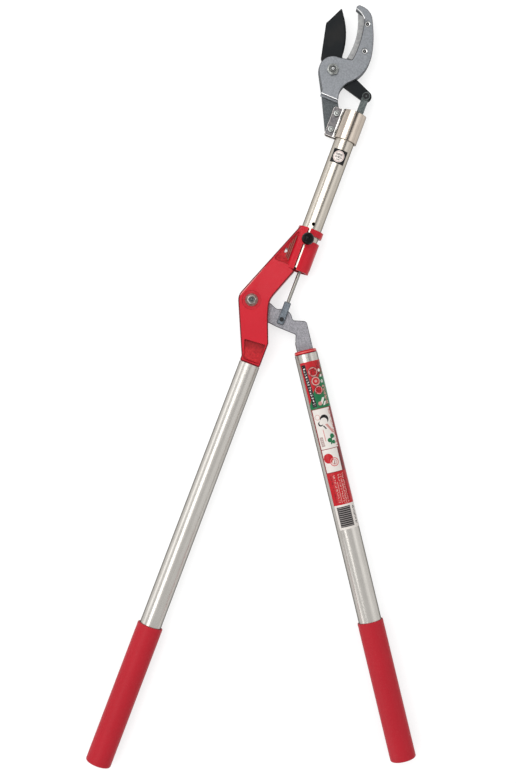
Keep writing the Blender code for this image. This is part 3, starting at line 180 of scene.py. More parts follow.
def new_material(name: str) -> tuple[bpy.types.Material, Graph, Any]:
    """Start a material.

    Args:
        name: its name.

    Returns:
        The material, its graph and its shader's input sockets.
    """
    made = bpy.data.materials.new(name)
    made.use_nodes = True
    return made, Graph(made.node_tree), made.node_tree.nodes["Principled BSDF"].inputs


class Effect(Enum):
    """Shader groups that more than one finish places."""

    GRAIN = "surface_grain"
    CAST = "cast_skin"
    PATCHES = "soft_patches"
    EDGES = "edge_mask"
    SCRATCHES = "fine_scratches"
    DUST = "settled_dust"
    BLOCK = "printed_block"
    DISC = "printed_disc"


class Effects:
    """Shelf of shader node groups, each built once."""

    def __init__(self) -> None:
        """Start with no group built."""
        self._built: dict[Effect, bpy.types.NodeTree] = {}
        self._wiring: dict[Effect, tuple[dict[str, float], Sequence[str], Callable]] = {
            Effect.GRAIN: ({"Scale": 1000.0, "Stretch": 1.0}, ("Value",), self._grain),
            Effect.CAST: ({"Scale": 1000.0}, ("Value", "Height"), self._cast),
            Effect.PATCHES: ({"Scale": 40.0, "Low": 0.4, "High": 0.6}, ("Mask",), self._patches),
            Effect.EDGES: ({"Radius": 0.0008, "Breakup": 900.0}, ("Mask",), self._edges),
            Effect.SCRATCHES: ({"Scale": 300.0, "Amount": 0.3}, ("Mask",), self._scratches),
            Effect.DUST: ({"Scale": 1500.0, "Amount": 0.2}, ("Mask",), self._dust),
            Effect.BLOCK: ({"Across": 0.0, "Along": 0.0, "Left": 0.0, "Right": 1.0, "Foot": 0.0, "Top": 1.0,
                            "Lean": 0.0}, ("Mask",), self._block),
            Effect.DISC: ({"Across": 0.0, "Along": 0.0, "Centre Across": 0.0, "Centre Along": 0.0,
                           "Radius": 1.0, "Hole": 0.0}, ("Mask",), self._disc),
        }

    def place(self, graph: Graph, effect: Effect, **inputs: Any) -> bpy.types.Node:
        """Put an effect in a material.

        Args:
            graph: the material's graph.
            effect: which group.
            inputs: values or sockets by input name, with an underscore for a space.

        Returns:
            The group node.
        """
        if effect not in self._built:
            self._built[effect] = self._build(effect)
        made = graph.tree.nodes.new("ShaderNodeGroup")
        made.node_tree = self._built[effect]
        for key, value in inputs.items():
            graph.feed(made.inputs[key.replace("_", " ")], value)
        return made

    def _build(self, effect: Effect) -> bpy.types.NodeTree:
        """Make one group with its named sockets.

        Args:
            effect: which group.

        Returns:
            The group's node tree.
        """
        inputs, outputs, wire = self._wiring[effect]
        tree = bpy.data.node_groups.new(effect.value, "ShaderNodeTree")
        for name, value in inputs.items():
            socket = tree.interface.new_socket(name=name, in_out="INPUT", socket_type="NodeSocketFloat")
            socket.default_value = value
        for name in outputs:
            tree.interface.new_socket(name=name, in_out="OUTPUT", socket_type="NodeSocketFloat")
        graph = Graph(tree)
        given = tree.nodes.new("NodeGroupInput").outputs
        result = tree.nodes.new("NodeGroupOutput").inputs
        for name, socket in wire(graph, given).items():
            graph.feed(result[name], socket)
        return tree

    @staticmethod
    def _object_place(graph: Graph, across: Any = 1.0, along: Any = 1.0) -> bpy.types.NodeSocket:
        """Coordinates of the piece itself, squeezed along its Y.

        Args:
            graph: the group's graph.
            across: factor on X and Z.
            along: factor on Y.

        Returns:
            The coordinates' socket.
        """
        place = graph.node("ShaderNodeTexCoord").outputs["Object"]
        factors = graph.node("ShaderNodeCombineXYZ", None, X=across, Y=along, Z=across).outputs[0]
        made = graph.node("ShaderNodeVectorMath", {"operation": "MULTIPLY"})
        graph.feed(made.inputs[0], place)
        graph.feed(made.inputs[1], factors)
        return made.outputs[0]

    def _grain(self, graph: Graph, given: Any) -> dict[str, bpy.types.NodeSocket]:
        """Fine lines along the piece's Y, or even grain where the stretch is 1.

        Args:
            graph: the group's graph.
            given: the group's input sockets.

        Returns:
            The results by output name.
        """
        along = graph.maths("DIVIDE", 1.0, given["Stretch"])
        place = self._object_place(graph, 1.0, along)
        return {"Value": graph.noise(place, given["Scale"], 3.0, 0.6)}

    def _cast(self, graph: Graph, given: Any) -> dict[str, bpy.types.NodeSocket]:
        """Blasted casting: shallow pits over a soft swell.

        Args:
            graph: the group's graph.
            given: the group's input sockets.

        Returns:
            The results by output name.
        """
        place = self._object_place(graph)
        cells = graph.node("ShaderNodeTexVoronoi", {"feature": "SMOOTH_F1"}, Vector=place, Scale=given["Scale"],
                           Smoothness=0.6).outputs["Distance"]
        swell = graph.noise(place, graph.maths("MULTIPLY", given["Scale"], 0.35), 3.0, 0.65)
        pits = graph.ranged(cells, 0.1, 0.75, 0.0, 1.0, True)
        height = graph.maths("ADD", graph.maths("MULTIPLY", pits, 0.45), graph.maths("MULTIPLY", swell, 0.55))
        return {"Value": graph.ranged(height, *NOISE_SPAN), "Height": height}

    def _patches(self, graph: Graph, given: Any) -> dict[str, bpy.types.NodeSocket]:
        """Large soft patches."""
        value = graph.noise(self._object_place(graph), given["Scale"], 3.0, 0.55)
        return {"Mask": graph.ranged(value, given["Low"], given["High"], 0.0, 1.0, True)}

    def _edges(self, graph: Graph, given: Any) -> dict[str, bpy.types.NodeSocket]:
        """Narrow band along corners, a little broken up, where finishes paint corner shade and corner
        highlights.

        Args:
            graph: the group's graph.
            given: the group's input sockets.

        Returns:
            The results by output name.
        """
        rounded = graph.node("ShaderNodeBevel", {"samples": 4}, Radius=given["Radius"]).outputs[0]
        flat = graph.node("ShaderNodeNewGeometry").outputs["Normal"]
        match = graph.node("ShaderNodeVectorMath", {"operation": "DOT_PRODUCT"})
        graph.feed(match.inputs[0], rounded)
        graph.feed(match.inputs[1], flat)
        band = graph.ranged(match.outputs["Value"], FLAT, 0.90, 0.0, 1.0, True)
        broken = graph.ranged(graph.noise(self._object_place(graph), given["Breakup"], 3.0, 0.6), 0.3, 0.6,
                              0.45, 1.0)
        return {"Mask": graph.maths("MULTIPLY", band, broken, True)}

    def _scratches(self, graph: Graph, given: Any) -> dict[str, bpy.types.NodeSocket]:
        """Sparse hairlines in two directions.

        Args:
            graph: the group's graph.
            given: the group's input sockets.

        Returns:
            The results by output name.
        """
        lines = []
        for across, along in ((1.0, 0.03), (0.04, 1.0)):
            finer = graph.maths("MULTIPLY", given["Scale"], 6.0)
            value = graph.noise(self._object_place(graph, across, along), finer, 2.0, 0.5)
            away = graph.maths("ABSOLUTE", graph.maths("SUBTRACT", value, 0.5))
            lines.append(graph.ranged(away, 0.0, 0.012, 1.0, 0.0))
        place = self._object_place(graph)
        spots = graph.ranged(graph.noise(place, given["Scale"], 2.0, 0.5), 0.5, 0.62)
        both = graph.maths("MAXIMUM", lines[0], lines[1])
        return {"Mask": graph.maths("MULTIPLY", graph.maths("MULTIPLY", both, spots), given["Amount"], True)}

    def _dust(self, graph: Graph, given: Any) -> dict[str, bpy.types.NodeSocket]:
        """Pale specks on the faces that look up.

        Args:
            graph: the group's graph.
            given: the group's input sockets.

        Returns:
            The results by output name.
        """
        normal = graph.node("ShaderNodeNewGeometry").outputs["Normal"]
        up = graph.node("ShaderNodeSeparateXYZ", None, Vector=normal).outputs["Z"]
        facing = graph.ranged(up, 0.3, 0.9, 0.0, 1.0, True)
        specks = graph.ranged(graph.noise(self._object_place(graph), given["Scale"], 4.0, 0.7), 0.56, 0.70)
        return {"Mask": graph.maths("MULTIPLY", graph.maths("MULTIPLY", facing, specks), given["Amount"], True)}

    @staticmethod
    def _block(graph: Graph, given: Any) -> dict[str, bpy.types.NodeSocket]:
        """Printed rectangle with a slanted side if asked.

        Args:
            graph: the group's graph.
            given: the group's input sockets.

        Returns:
            The results by output name.
        """
        lean = graph.maths("MULTIPLY", graph.maths("SUBTRACT", given["Along"], given["Foot"]), given["Lean"])
        across = graph.maths("SUBTRACT", given["Across"], lean)
        sides = [
            graph.maths("GREATER_THAN", across, given["Left"]),
            graph.maths("LESS_THAN", across, given["Right"]),
            graph.maths("GREATER_THAN", given["Along"], given["Foot"]),
            graph.maths("LESS_THAN", given["Along"], given["Top"]),
        ]
        inside = graph.maths("MULTIPLY", sides[0], sides[1])
        between = graph.maths("MULTIPLY", sides[2], sides[3])
        return {"Mask": graph.maths("MULTIPLY", inside, between)}

    @staticmethod
    def _disc(graph: Graph, given: Any) -> dict[str, bpy.types.NodeSocket]:
        """Printed disc, or a ring where it has a hole.

        Args:
            graph: the group's graph.
            given: the group's input sockets.

        Returns:
            The results by output name.
        """
        across = graph.maths("SUBTRACT", given["Across"], given["Centre Across"])
        along = graph.maths("SUBTRACT", given["Along"], given["Centre Along"])
        squares = [graph.maths("MULTIPLY", side, side) for side in (across, along)]
        away = graph.maths("SQRT", graph.maths("ADD", *squares))
        inside = graph.maths("LESS_THAN", away, given["Radius"])
        outside = graph.maths("GREATER_THAN", away, given["Hole"])
        return {"Mask": graph.maths("MULTIPLY", inside, outside)}


EFFECTS = Effects()
HAIRLINE_SCALE = 260.0  # patches with hairlines in a metre
DUST_SCALE = 1300.0  # specks in a metre
DUST_COLOUR = (0.75, 0.72, 0.68)
BLACK = (0.0, 0.0, 0.0)
WHITE = (1.0, 1.0, 1.0, 1.0)


# Finishes


class Texture(Enum):
    """Relief that a finish has."""

    CAST = "cast"
    DRAWN = "drawn along Y"
    MOULDED = "moulded"
    POLISHED = "polished"


@dataclass(frozen=True)
class Finish:
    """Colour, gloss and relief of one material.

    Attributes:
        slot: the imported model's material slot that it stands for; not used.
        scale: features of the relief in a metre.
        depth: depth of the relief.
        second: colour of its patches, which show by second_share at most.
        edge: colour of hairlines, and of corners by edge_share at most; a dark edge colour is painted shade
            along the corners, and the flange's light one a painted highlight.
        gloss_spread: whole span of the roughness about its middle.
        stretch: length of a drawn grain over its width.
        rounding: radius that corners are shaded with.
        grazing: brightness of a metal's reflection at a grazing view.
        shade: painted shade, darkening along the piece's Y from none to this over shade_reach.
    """

    name: str
    slot: str
    colour: Colour
    roughness: float
    metallic: float
    texture: Texture
    scale: float
    depth: float
    second: Colour = (0.5, 0.5, 0.5)
    second_share: float = 0.0
    patch_scale: float = 60.0
    edge: Colour = (0.8, 0.8, 0.8)
    edge_share: float = 0.0
    edge_radius: float = 0.0006
    gloss_spread: float = 0.1
    stretch: float = 1.0
    coat: float = 0.0
    coat_roughness: float = 0.1
    dust: float = 0.0
    scratches: float = 0.0
    rounding: float = 0.0004
    specular: float = 0.5
    grazing: float = 1.0
    shade: float = 0.0
    shade_reach: Point = (0.0, 0.1)

    def material(self) -> bpy.types.Material:
        """Build the finish's material, or give the one already built.

        Returns:
            The material.
        """
        if self.name in bpy.data.materials:
            return bpy.data.materials[self.name]
        made, graph, sockets = new_material(self.name)
        sockets["Metallic"].default_value = self.metallic
        sockets["Coat Weight"].default_value = self.coat
        sockets["Coat Roughness"].default_value = self.coat_roughness
        sockets["Specular IOR Level"].default_value = self.specular
        sockets["Specular Tint"].default_value = (self.grazing, self.grazing, self.grazing, 1.0)
        height, value = self._relief(graph)
        graph.feed(sockets["Base Color"], self._colours(graph, value))
        low, high = self.roughness - self.gloss_spread / 2, self.roughness + self.gloss_spread / 2
        graph.feed(sockets["Roughness"], graph.ranged(value, *NOISE_SPAN, low, high))
        bump = graph.node("ShaderNodeBump", None, Height=height, Distance=self.depth)
        if self.rounding > 0.0:
            edge = graph.node("ShaderNodeBevel", {"samples": 4}, Radius=self.rounding)
            graph.feed(bump.inputs["Normal"], edge.outputs[0])
        graph.feed(sockets["Normal"], bump.outputs[0])
        made.diffuse_color = (*self.colour, 1.0)
        return made

    def _relief(self, graph: Graph) -> tuple[bpy.types.NodeSocket, bpy.types.NodeSocket]:
        """Height and gloss value of the finish's texture.

        Args:
            graph: the material's graph.

        Returns:
            Sockets of the height and of the value.
        """
        if self.texture is Texture.CAST:
            skin = EFFECTS.place(graph, Effect.CAST, Scale=self.scale)
            return skin.outputs["Height"], skin.outputs["Value"]
        if self.texture is Texture.POLISHED:
            lines = EFFECTS.place(graph, Effect.SCRATCHES, Scale=self.scale, Amount=1.0).outputs["Mask"]
            grain = EFFECTS.place(graph, Effect.GRAIN, Scale=self.scale * 4, Stretch=1.0).outputs["Value"]
            return graph.maths("SUBTRACT", grain, lines), grain
        stretch = self.stretch if self.texture is Texture.DRAWN else 1.0
        grain = EFFECTS.place(graph, Effect.GRAIN, Scale=self.scale, Stretch=stretch).outputs["Value"]
        return grain, grain

    def _colours(self, graph: Graph, value: bpy.types.NodeSocket) -> bpy.types.NodeSocket:
        """Base colour with its patches, painted shade and highlights on corners, hairlines, dust and painted
        shade along Y.

        Args:
            graph: the material's graph.
            value: the texture's value, which breaks the patches up.

        Returns:
            The colour's socket.
        """
        patches = EFFECTS.place(graph, Effect.PATCHES, Scale=self.patch_scale, Low=0.35, High=0.65)
        mottle = graph.maths("ADD", graph.maths("MULTIPLY", patches.outputs["Mask"], 0.5),
                             graph.maths("MULTIPLY", value, 0.5))
        colour = graph.blend(graph.maths("MULTIPLY", mottle, self.second_share), self.colour, self.second)
        # Corners take the edge colour: painted shade on most finishes, a painted highlight on the flange.
        if self.edge_share > 0.0:
            edges = EFFECTS.place(graph, Effect.EDGES, Radius=self.edge_radius)
            colour = graph.blend(graph.maths("MULTIPLY", edges.outputs["Mask"], self.edge_share), colour,
                                 self.edge)
        if self.scratches > 0.0:
            lines = EFFECTS.place(graph, Effect.SCRATCHES, Scale=HAIRLINE_SCALE, Amount=self.scratches)
            colour = graph.blend(lines.outputs["Mask"], colour, self.edge)
        if self.dust > 0.0:
            specks = EFFECTS.place(graph, Effect.DUST, Scale=DUST_SCALE, Amount=self.dust)
            colour = graph.blend(specks.outputs["Mask"], colour, DUST_COLOUR)
        # Painted shade that grows along the piece's Y.
        if self.shade > 0.0:
            place = graph.node("ShaderNodeTexCoord").outputs["Object"]
            along = graph.node("ShaderNodeSeparateXYZ", None, Vector=place).outputs["Y"]
            share = graph.ranged(along, *self.shade_reach, 0.0, self.shade, True)
            colour = graph.blend(share, colour, BLACK)
        return colour


# Most finishes below paint shade along their corners with a dark edge colour; the flange's light edge colour is
# a painted highlight.
CASTING = Finish("red_paint", "red_casting", (0.490, 0.0080, 0.0200), 0.34, 0.0, Texture.MOULDED, 700.0,
                 0.00012, second=(0.440, 0.0075, 0.0170), second_share=0.6, patch_scale=35.0,
                 edge=(0.120, 0.0025, 0.0060), edge_share=0.50, edge_radius=0.0007, coat=0.08,
                 coat_roughness=0.10, dust=0.04, scratches=0.05, rounding=0.0007, specular=0.14)
# Painted shade: near-black red for chamfers.
SHADED = Finish("red_paint_edge_shade", "red_casting", (0.100, 0.0020, 0.0045), 0.34, 0.0, Texture.MOULDED, 700.0,
                0.00012, second=(0.160, 0.0030, 0.0070), second_share=0.8, patch_scale=200.0, coat=0.08,
                rounding=0.0004, specular=0.14)
# Painted highlight: pale pink for a thin strip along the bracket's slanted edge; the ring's band copies it.
EDGE_HIGHLIGHT = Finish("red_paint_highlight", "red_casting", (0.760, 0.4000, 0.3700), 0.30, 0.0, Texture.MOULDED, 700.0,
              0.00012, second=(0.560, 0.0600, 0.0650), second_share=0.9, patch_scale=160.0, coat=0.20,
              rounding=0.0004, specular=0.4)
# Painted shade: darker red for the floors of the pocket and of the recess by the socket.
RECESS_SHADE = Finish("red_paint_recess_shade", "red_casting", (0.310, 0.0070, 0.0120), 0.42, 0.0, Texture.CAST, 420.0,
                0.00030, second=(0.500, 0.0180, 0.0250), second_share=1.0, patch_scale=150.0,
                edge=(0.160, 0.0040, 0.0060), edge_share=0.25, edge_radius=0.0012, dust=0.05, rounding=0.0007,
                specular=0.14)
# Painted shadow: the pocket's floor darkens towards its top wall, where the wall's shadow falls.
POCKET_SHADOW = replace(RECESS_SHADE, name="red_paint_pocket_shadow", colour=(0.330, 0.0075, 0.0130),
                 second=(0.540, 0.0200, 0.0270), edge_share=0.15, shade=0.62, shade_reach=(0.044, 0.068))
# Painted highlight: orange-pink for the band round the tube's ring.
BAND_HIGHLIGHT = replace(EDGE_HIGHLIGHT, name="red_paint_band_highlight", colour=(0.640, 0.1500, 0.1150), second=(0.520, 0.0500, 0.0450))
# Olive-brown rib tops with lighter edges.
WEB = Finish("olive_ribs", "red_casting", (0.210, 0.0550, 0.0420), 0.45, 0.0, Texture.CAST, 700.0, 0.00020,
             second=(0.300, 0.1100, 0.0800), second_share=0.8, patch_scale=220.0, edge=(0.30, 0.20, 0.16),
             edge_share=0.5, edge_radius=0.0005, rounding=0.0003, specular=0.2)
GRIP = Finish("red_sleeve", "red_grip", (0.398, 0.0095, 0.0200), 0.46, 0.0, Texture.MOULDED, 1500.0, 0.00008,
              second=(0.355, 0.0085, 0.0175), second_share=0.7, patch_scale=25.0, dust=0.04,
              edge=(0.5, 0.12, 0.12), scratches=0.08, rounding=0.0005, specular=0.18)
TUBE = Finish("anodised_skin", "anodised_tube", (0.530, 0.508, 0.476), 0.27, 1.0, Texture.DRAWN, 2600.0,
              0.00002, second=(0.470, 0.448, 0.416), second_share=0.8, patch_scale=30.0, stretch=70.0,
              gloss_spread=0.10, edge=(0.70, 0.68, 0.65), scratches=0.20, rounding=0.0, grazing=0.0)
WARM = Finish("warm_anodised_skin", "anodised_tube", (0.500, 0.460, 0.405), 0.24, 1.0, Texture.DRAWN, 2600.0,
              0.00002, second=(0.440, 0.402, 0.350), second_share=0.8, patch_scale=30.0, stretch=70.0,
              gloss_spread=0.10, edge=(0.70, 0.67, 0.62), scratches=0.20, rounding=0.0, grazing=0.1)
LEVER = Finish("grey_casting", "cast_grey", (0.165, 0.164, 0.179), 0.52, 0.85, Texture.CAST, 900.0, 0.00035,
               second=(0.350, 0.342, 0.364), second_share=1.0, patch_scale=560.0, edge=(0.018, 0.018, 0.022),
               edge_share=0.95, edge_radius=0.0011, gloss_spread=0.2, rounding=0.0008)
HOOK = Finish("light_casting", "cast_light", (0.166, 0.176, 0.189), 0.46, 0.85, Texture.CAST, 1500.0, 0.00016,
              second=(0.270, 0.280, 0.295), second_share=0.9, patch_scale=500.0, edge=(0.040, 0.041, 0.044),
              edge_share=0.70, edge_radius=0.0007, gloss_spread=0.14, rounding=0.0007)
# Painted shade: near-black for the chamfers of the grey castings.
EDGE_SHADE = Finish("casting_edge_shade", "cast_light", (0.045, 0.046, 0.050), 0.50, 0.6, Texture.CAST, 1500.0, 0.00016,
                 second=(0.090, 0.092, 0.098), second_share=0.8, patch_scale=260.0, rounding=0.0003,
                 specular=0.3)
# Painted highlight: near-white for the chamfers that face towards -Y.
GLINT = Finish("edge_glint", "cast_light", (0.900, 0.900, 0.890), 0.34, 1.0, Texture.DRAWN, 1500.0, 0.00006,
               second=(0.700, 0.700, 0.700), second_share=0.6, patch_scale=200.0, stretch=3.0, rounding=0.0003)
BASE = Finish("dark_coating", "painted_base", (0.043, 0.051, 0.054), 0.48, 0.4, Texture.CAST, 1400.0, 0.00014,
              second=(0.104, 0.114, 0.118), second_share=1.0, patch_scale=480.0, edge=(0.020, 0.021, 0.022),
              edge_share=0.7, rounding=0.0005, specular=0.3)
BLADE = Finish("black_coating", "coated_blade", (0.0060, 0.0085, 0.0105), 0.42, 0.0, Texture.MOULDED, 1800.0,
               0.00004, second=(0.0190, 0.0180, 0.0175), second_share=0.9, patch_scale=45.0,
               edge=(0.0020, 0.0020, 0.0022), edge_share=0.8, scratches=0.12, rounding=0.0004, specular=0.10)
ANVIL = Finish("anvil_skin", "anvil_alloy", (0.245, 0.245, 0.247), 0.55, 0.9, Texture.CAST, 1800.0, 0.00025,
               second=(0.440, 0.440, 0.435), second_share=0.9, patch_scale=260.0, edge=(0.060, 0.060, 0.062),
               edge_share=0.5, edge_radius=0.0005, rounding=0.0003)
ZINC = Finish("zinc_plate", "zinc_steel", (0.330, 0.322, 0.300), 0.30, 1.0, Texture.POLISHED, 400.0, 0.00002,
              second=(0.240, 0.232, 0.214), second_share=0.7, edge=(0.060, 0.060, 0.058), edge_share=0.6,
              edge_radius=0.0003, rounding=0.0003)
NUT = Finish("dull_zinc", "zinc_steel", (0.420, 0.430, 0.415), 0.34, 1.0, Texture.POLISHED, 420.0, 0.00003,
             second=(0.225, 0.234, 0.222), second_share=0.8, patch_scale=420.0, edge=(0.014, 0.014, 0.015),
             edge_share=0.95, edge_radius=0.0006, rounding=0.0003)
PALE_NUT = replace(NUT, name="pale_zinc", colour=(0.560, 0.560, 0.520), second=(0.310, 0.315, 0.290))
ROD = replace(ZINC, name="bright_rod", colour=(0.290, 0.280, 0.256), second=(0.215, 0.206, 0.188), grazing=0.0)
BRIGHT = Finish("bright_ring", "zinc_steel", (0.460, 0.465, 0.465), 0.24, 1.0, Texture.POLISHED, 400.0, 0.00002,
                second=(0.280, 0.286, 0.286), second_share=0.7, patch_scale=400.0, edge=(0.020, 0.020, 0.021),
                edge_share=0.9, edge_radius=0.0003, rounding=0.0002)
SCREW = replace(BRIGHT, name="bright_screw", colour=(0.820, 0.820, 0.800), second=(0.560, 0.565, 0.560),
                edge_share=0.5)
# Painted shade: near-black for grooves and key holes.
GROOVE_SHADE = Finish("groove_shade", "zinc_steel", (0.018, 0.018, 0.020), 0.50, 0.2, Texture.CAST, 1800.0, 0.00006,
                second=(0.035, 0.034, 0.034), second_share=0.8, patch_scale=300.0, rounding=0.0, specular=0.2)
WASHER = Finish("spring_washer", "zinc_steel", (0.080, 0.036, 0.032), 0.32, 1.0, Texture.POLISHED, 420.0,
                0.00003, second=(0.220, 0.125, 0.108), second_share=0.9, patch_scale=420.0,
                edge=(0.024, 0.018, 0.018), edge_share=0.9, edge_radius=0.0006, rounding=0.0003)
STAINLESS = Finish("stainless_sheet", "polished_stainless", (0.520, 0.455, 0.395), 0.16, 1.0, Texture.POLISHED,
                   300.0, 0.00001, second=(0.440, 0.375, 0.315), second_share=0.7, edge=(0.10, 0.08, 0.07),
                   edge_share=0.90, edge_radius=0.0010, gloss_spread=0.06, scratches=0.2, rounding=0.0004,
                   grazing=0.5)
# Painted reflection: the flange's faces are painted dark as the reflection of dark surroundings, and its light
# edge colour is a painted highlight.
FLANGE_REFLECTION = Finish("stainless_flange_reflection", "polished_stainless", (0.085, 0.084, 0.092), 0.34, 1.0, Texture.POLISHED,
                300.0, 0.00002, second=(0.190, 0.175, 0.170), second_share=0.9, patch_scale=300.0,
                edge=(0.800, 0.740, 0.700), edge_share=1.0, edge_radius=0.0013, scratches=0.2, rounding=0.0004)
# Painted highlight: near-white for the bend between the flange and the wrap.
FOLD_HIGHLIGHT = Finish("stainless_fold_highlight", "polished_stainless", (0.950, 0.930, 0.900), 0.30, 1.0, Texture.POLISHED, 300.0,
              0.00002, second=(0.900, 0.860, 0.820), second_share=0.6, rounding=0.0004)
GUNMETAL = Finish("black_oxide", "dark_steel", (0.036, 0.047, 0.046), 0.42, 0.6, Texture.CAST, 1600.0, 0.00008,
                  second=(0.140, 0.156, 0.153), second_share=1.0, patch_scale=400.0, edge=(0.015, 0.016, 0.016),
                  edge_share=0.8, edge_radius=0.0005, rounding=0.0004, specular=0.3)
CLEVIS = Finish("grey_phosphate", "dark_steel", (0.078, 0.094, 0.110), 0.46, 0.8, Texture.CAST, 1400.0, 0.00014,
                second=(0.182, 0.202, 0.226), second_share=1.0, patch_scale=480.0, edge=(0.012, 0.013, 0.015),
                edge_share=0.95, edge_radius=0.0013, rounding=0.0005)
PIN = Finish("black_pin", "dark_steel", (0.0120, 0.0120, 0.0130), 0.40, 0.3, Texture.MOULDED, 1800.0, 0.00004,
             second=(0.025, 0.025, 0.026), second_share=0.7, rounding=0.0003, specular=0.2)
KNOB = Finish("black_ball", "black_knob", (0.0035, 0.0030, 0.0032), 0.14, 0.0, Texture.MOULDED, 900.0, 0.00002,
              second=(0.007, 0.006, 0.006), second_share=0.5, rounding=0.0, specular=0.10)
NYLON = Finish("nylon_insert", "zinc_steel", (0.022, 0.024, 0.026), 0.40, 0.0, Texture.MOULDED, 2500.0, 0.00003,
               second=(0.04, 0.04, 0.043), second_share=0.5, rounding=0.0, specular=0.2)
BRONZE = Finish("bronze_skin", "bronze_bush", (0.420, 0.280, 0.140), 0.36, 1.0, Texture.DRAWN, 1800.0, 0.00002,
                second=(0.300, 0.190, 0.090), second_share=0.7, stretch=8.0, rounding=0.0)


STRIPE_SHARE = 0.55  # printed part of a stripe's pitch


class Mark(Enum):
    """Shapes that can be printed on a film."""

    BLOCK = "block"
    DISC = "disc"
    STRIPES = "stripes"
    SPECKS = "specks"


@dataclass(frozen=True)
class Print:
    """One printed shape, in millimetres from the film's lower left corner.

    Attributes:
        across: left and right side, or a disc's centre and radius.
        along: foot and top, or a disc's centre and the radius of its hole.
        size: pitch of stripes or width of specks.
        lean: how far the sides shift to the right for each millimetre along.
    """

    mark: Mark
    colour: Colour
    across: Point
    along: Point
    size: float = 0.0
    lean: float = 0.0


@dataclass(frozen=True)
class PrintedFilm:
    """Glossy film with printed shapes, laid over each other in order."""

    name: str
    slot: str
    ground: Colour
    prints: tuple[Print, ...]
    faded: Colour = (0.35, 0.33, 0.30)
    fading: float = 0.03
    roughness: Point = (0.26, 0.36)
    depth: float = 0.00003
    specular: float = 0.14
    coat: float = 0.08
    coat_roughness: float = 0.12

    def material(self) -> bpy.types.Material:
        """Build the film's material.

        Returns:
            The material.
        """
        made, graph, sockets = new_material(self.name)
        place = graph.node("ShaderNodeUVMap", {"uv_map": "film"}).outputs[0]
        apart = graph.node("ShaderNodeSeparateXYZ", None, Vector=place).outputs
        across = graph.maths("MULTIPLY", apart["X"], MILLIMETRES)
        along = graph.maths("MULTIPLY", apart["Y"], MILLIMETRES)
        grain = EFFECTS.place(graph, Effect.GRAIN, Scale=2200.0, Stretch=1.0).outputs["Value"]
        patches = EFFECTS.place(graph, Effect.PATCHES, Scale=90.0, Low=0.3, High=0.7).outputs["Mask"]
        colour: Any = self.ground
        for shape in self.prints:
            colour = graph.blend(self._mask(graph, shape, across, along), colour, shape.colour)
        aged = graph.blend(graph.maths("MULTIPLY", patches, self.fading), colour, self.faded)
        graph.feed(sockets["Base Color"], aged)
        graph.feed(sockets["Roughness"], graph.ranged(grain, *NOISE_SPAN, *self.roughness))
        bump = graph.node("ShaderNodeBump", None, Height=grain, Distance=self.depth)
        graph.feed(sockets["Normal"], bump.outputs[0])
        sockets["Specular IOR Level"].default_value = self.specular
        sockets["Coat Weight"].default_value = self.coat
        sockets["Coat Roughness"].default_value = self.coat_roughness
        return made

    def _mask(self, graph: Graph, shape: Print, across: Any, along: Any) -> bpy.types.NodeSocket:
        """Where one shape is printed.

        Args:
            graph: the material's graph.
            shape: the printed shape.
            across: socket of the place across the film.
            along: socket of the place along the film.

        Returns:
            The mask's socket.
        """
        if shape.mark is Mark.DISC:
            group = EFFECTS.place(graph, Effect.DISC, Across=across, Along=along, Centre_Across=shape.across[0],
                                  Centre_Along=shape.along[0], Radius=shape.across[1], Hole=shape.along[1])
            return group.outputs["Mask"]
        group = EFFECTS.place(graph, Effect.BLOCK, Across=across, Along=along, Left=shape.across[0],
                              Right=shape.across[1], Foot=shape.along[0], Top=shape.along[1], Lean=shape.lean)
        if shape.mark is Mark.BLOCK:
            return group.outputs["Mask"]
        if shape.mark is Mark.SPECKS:
            flat = graph.node("ShaderNodeCombineXYZ", None, X=across, Y=along).outputs[0]
            line = graph.maths("GREATER_THAN", graph.noise(flat, 1.0 / shape.size, 1.0), 0.5)
        else:
            phase = graph.maths("FRACT", graph.maths("DIVIDE", along, shape.size))
            line = graph.maths("LESS_THAN", phase, STRIPE_SHARE)
        return graph.maths("MULTIPLY", group.outputs["Mask"], line)


RED = (0.420, 0.0080, 0.0140)
DARK_RED = (0.200, 0.0060, 0.0100)
GREEN = (0.010, 0.130, 0.050)
PAPER = (0.640, 0.600, 0.565)
INK = (0.006, 0.006, 0.007)
PINK = (0.520, 0.140, 0.140)
GREY = (0.045, 0.045, 0.045)
ROSE = (0.500, 0.240, 0.215)
UMBER = (0.330, 0.240, 0.230)
SAND = (0.520, 0.430, 0.410)
SMOKE = (0.200, 0.180, 0.175)
CREAM = (0.72, 0.66, 0.62)
MAROON = (0.30, 0.12, 0.11)

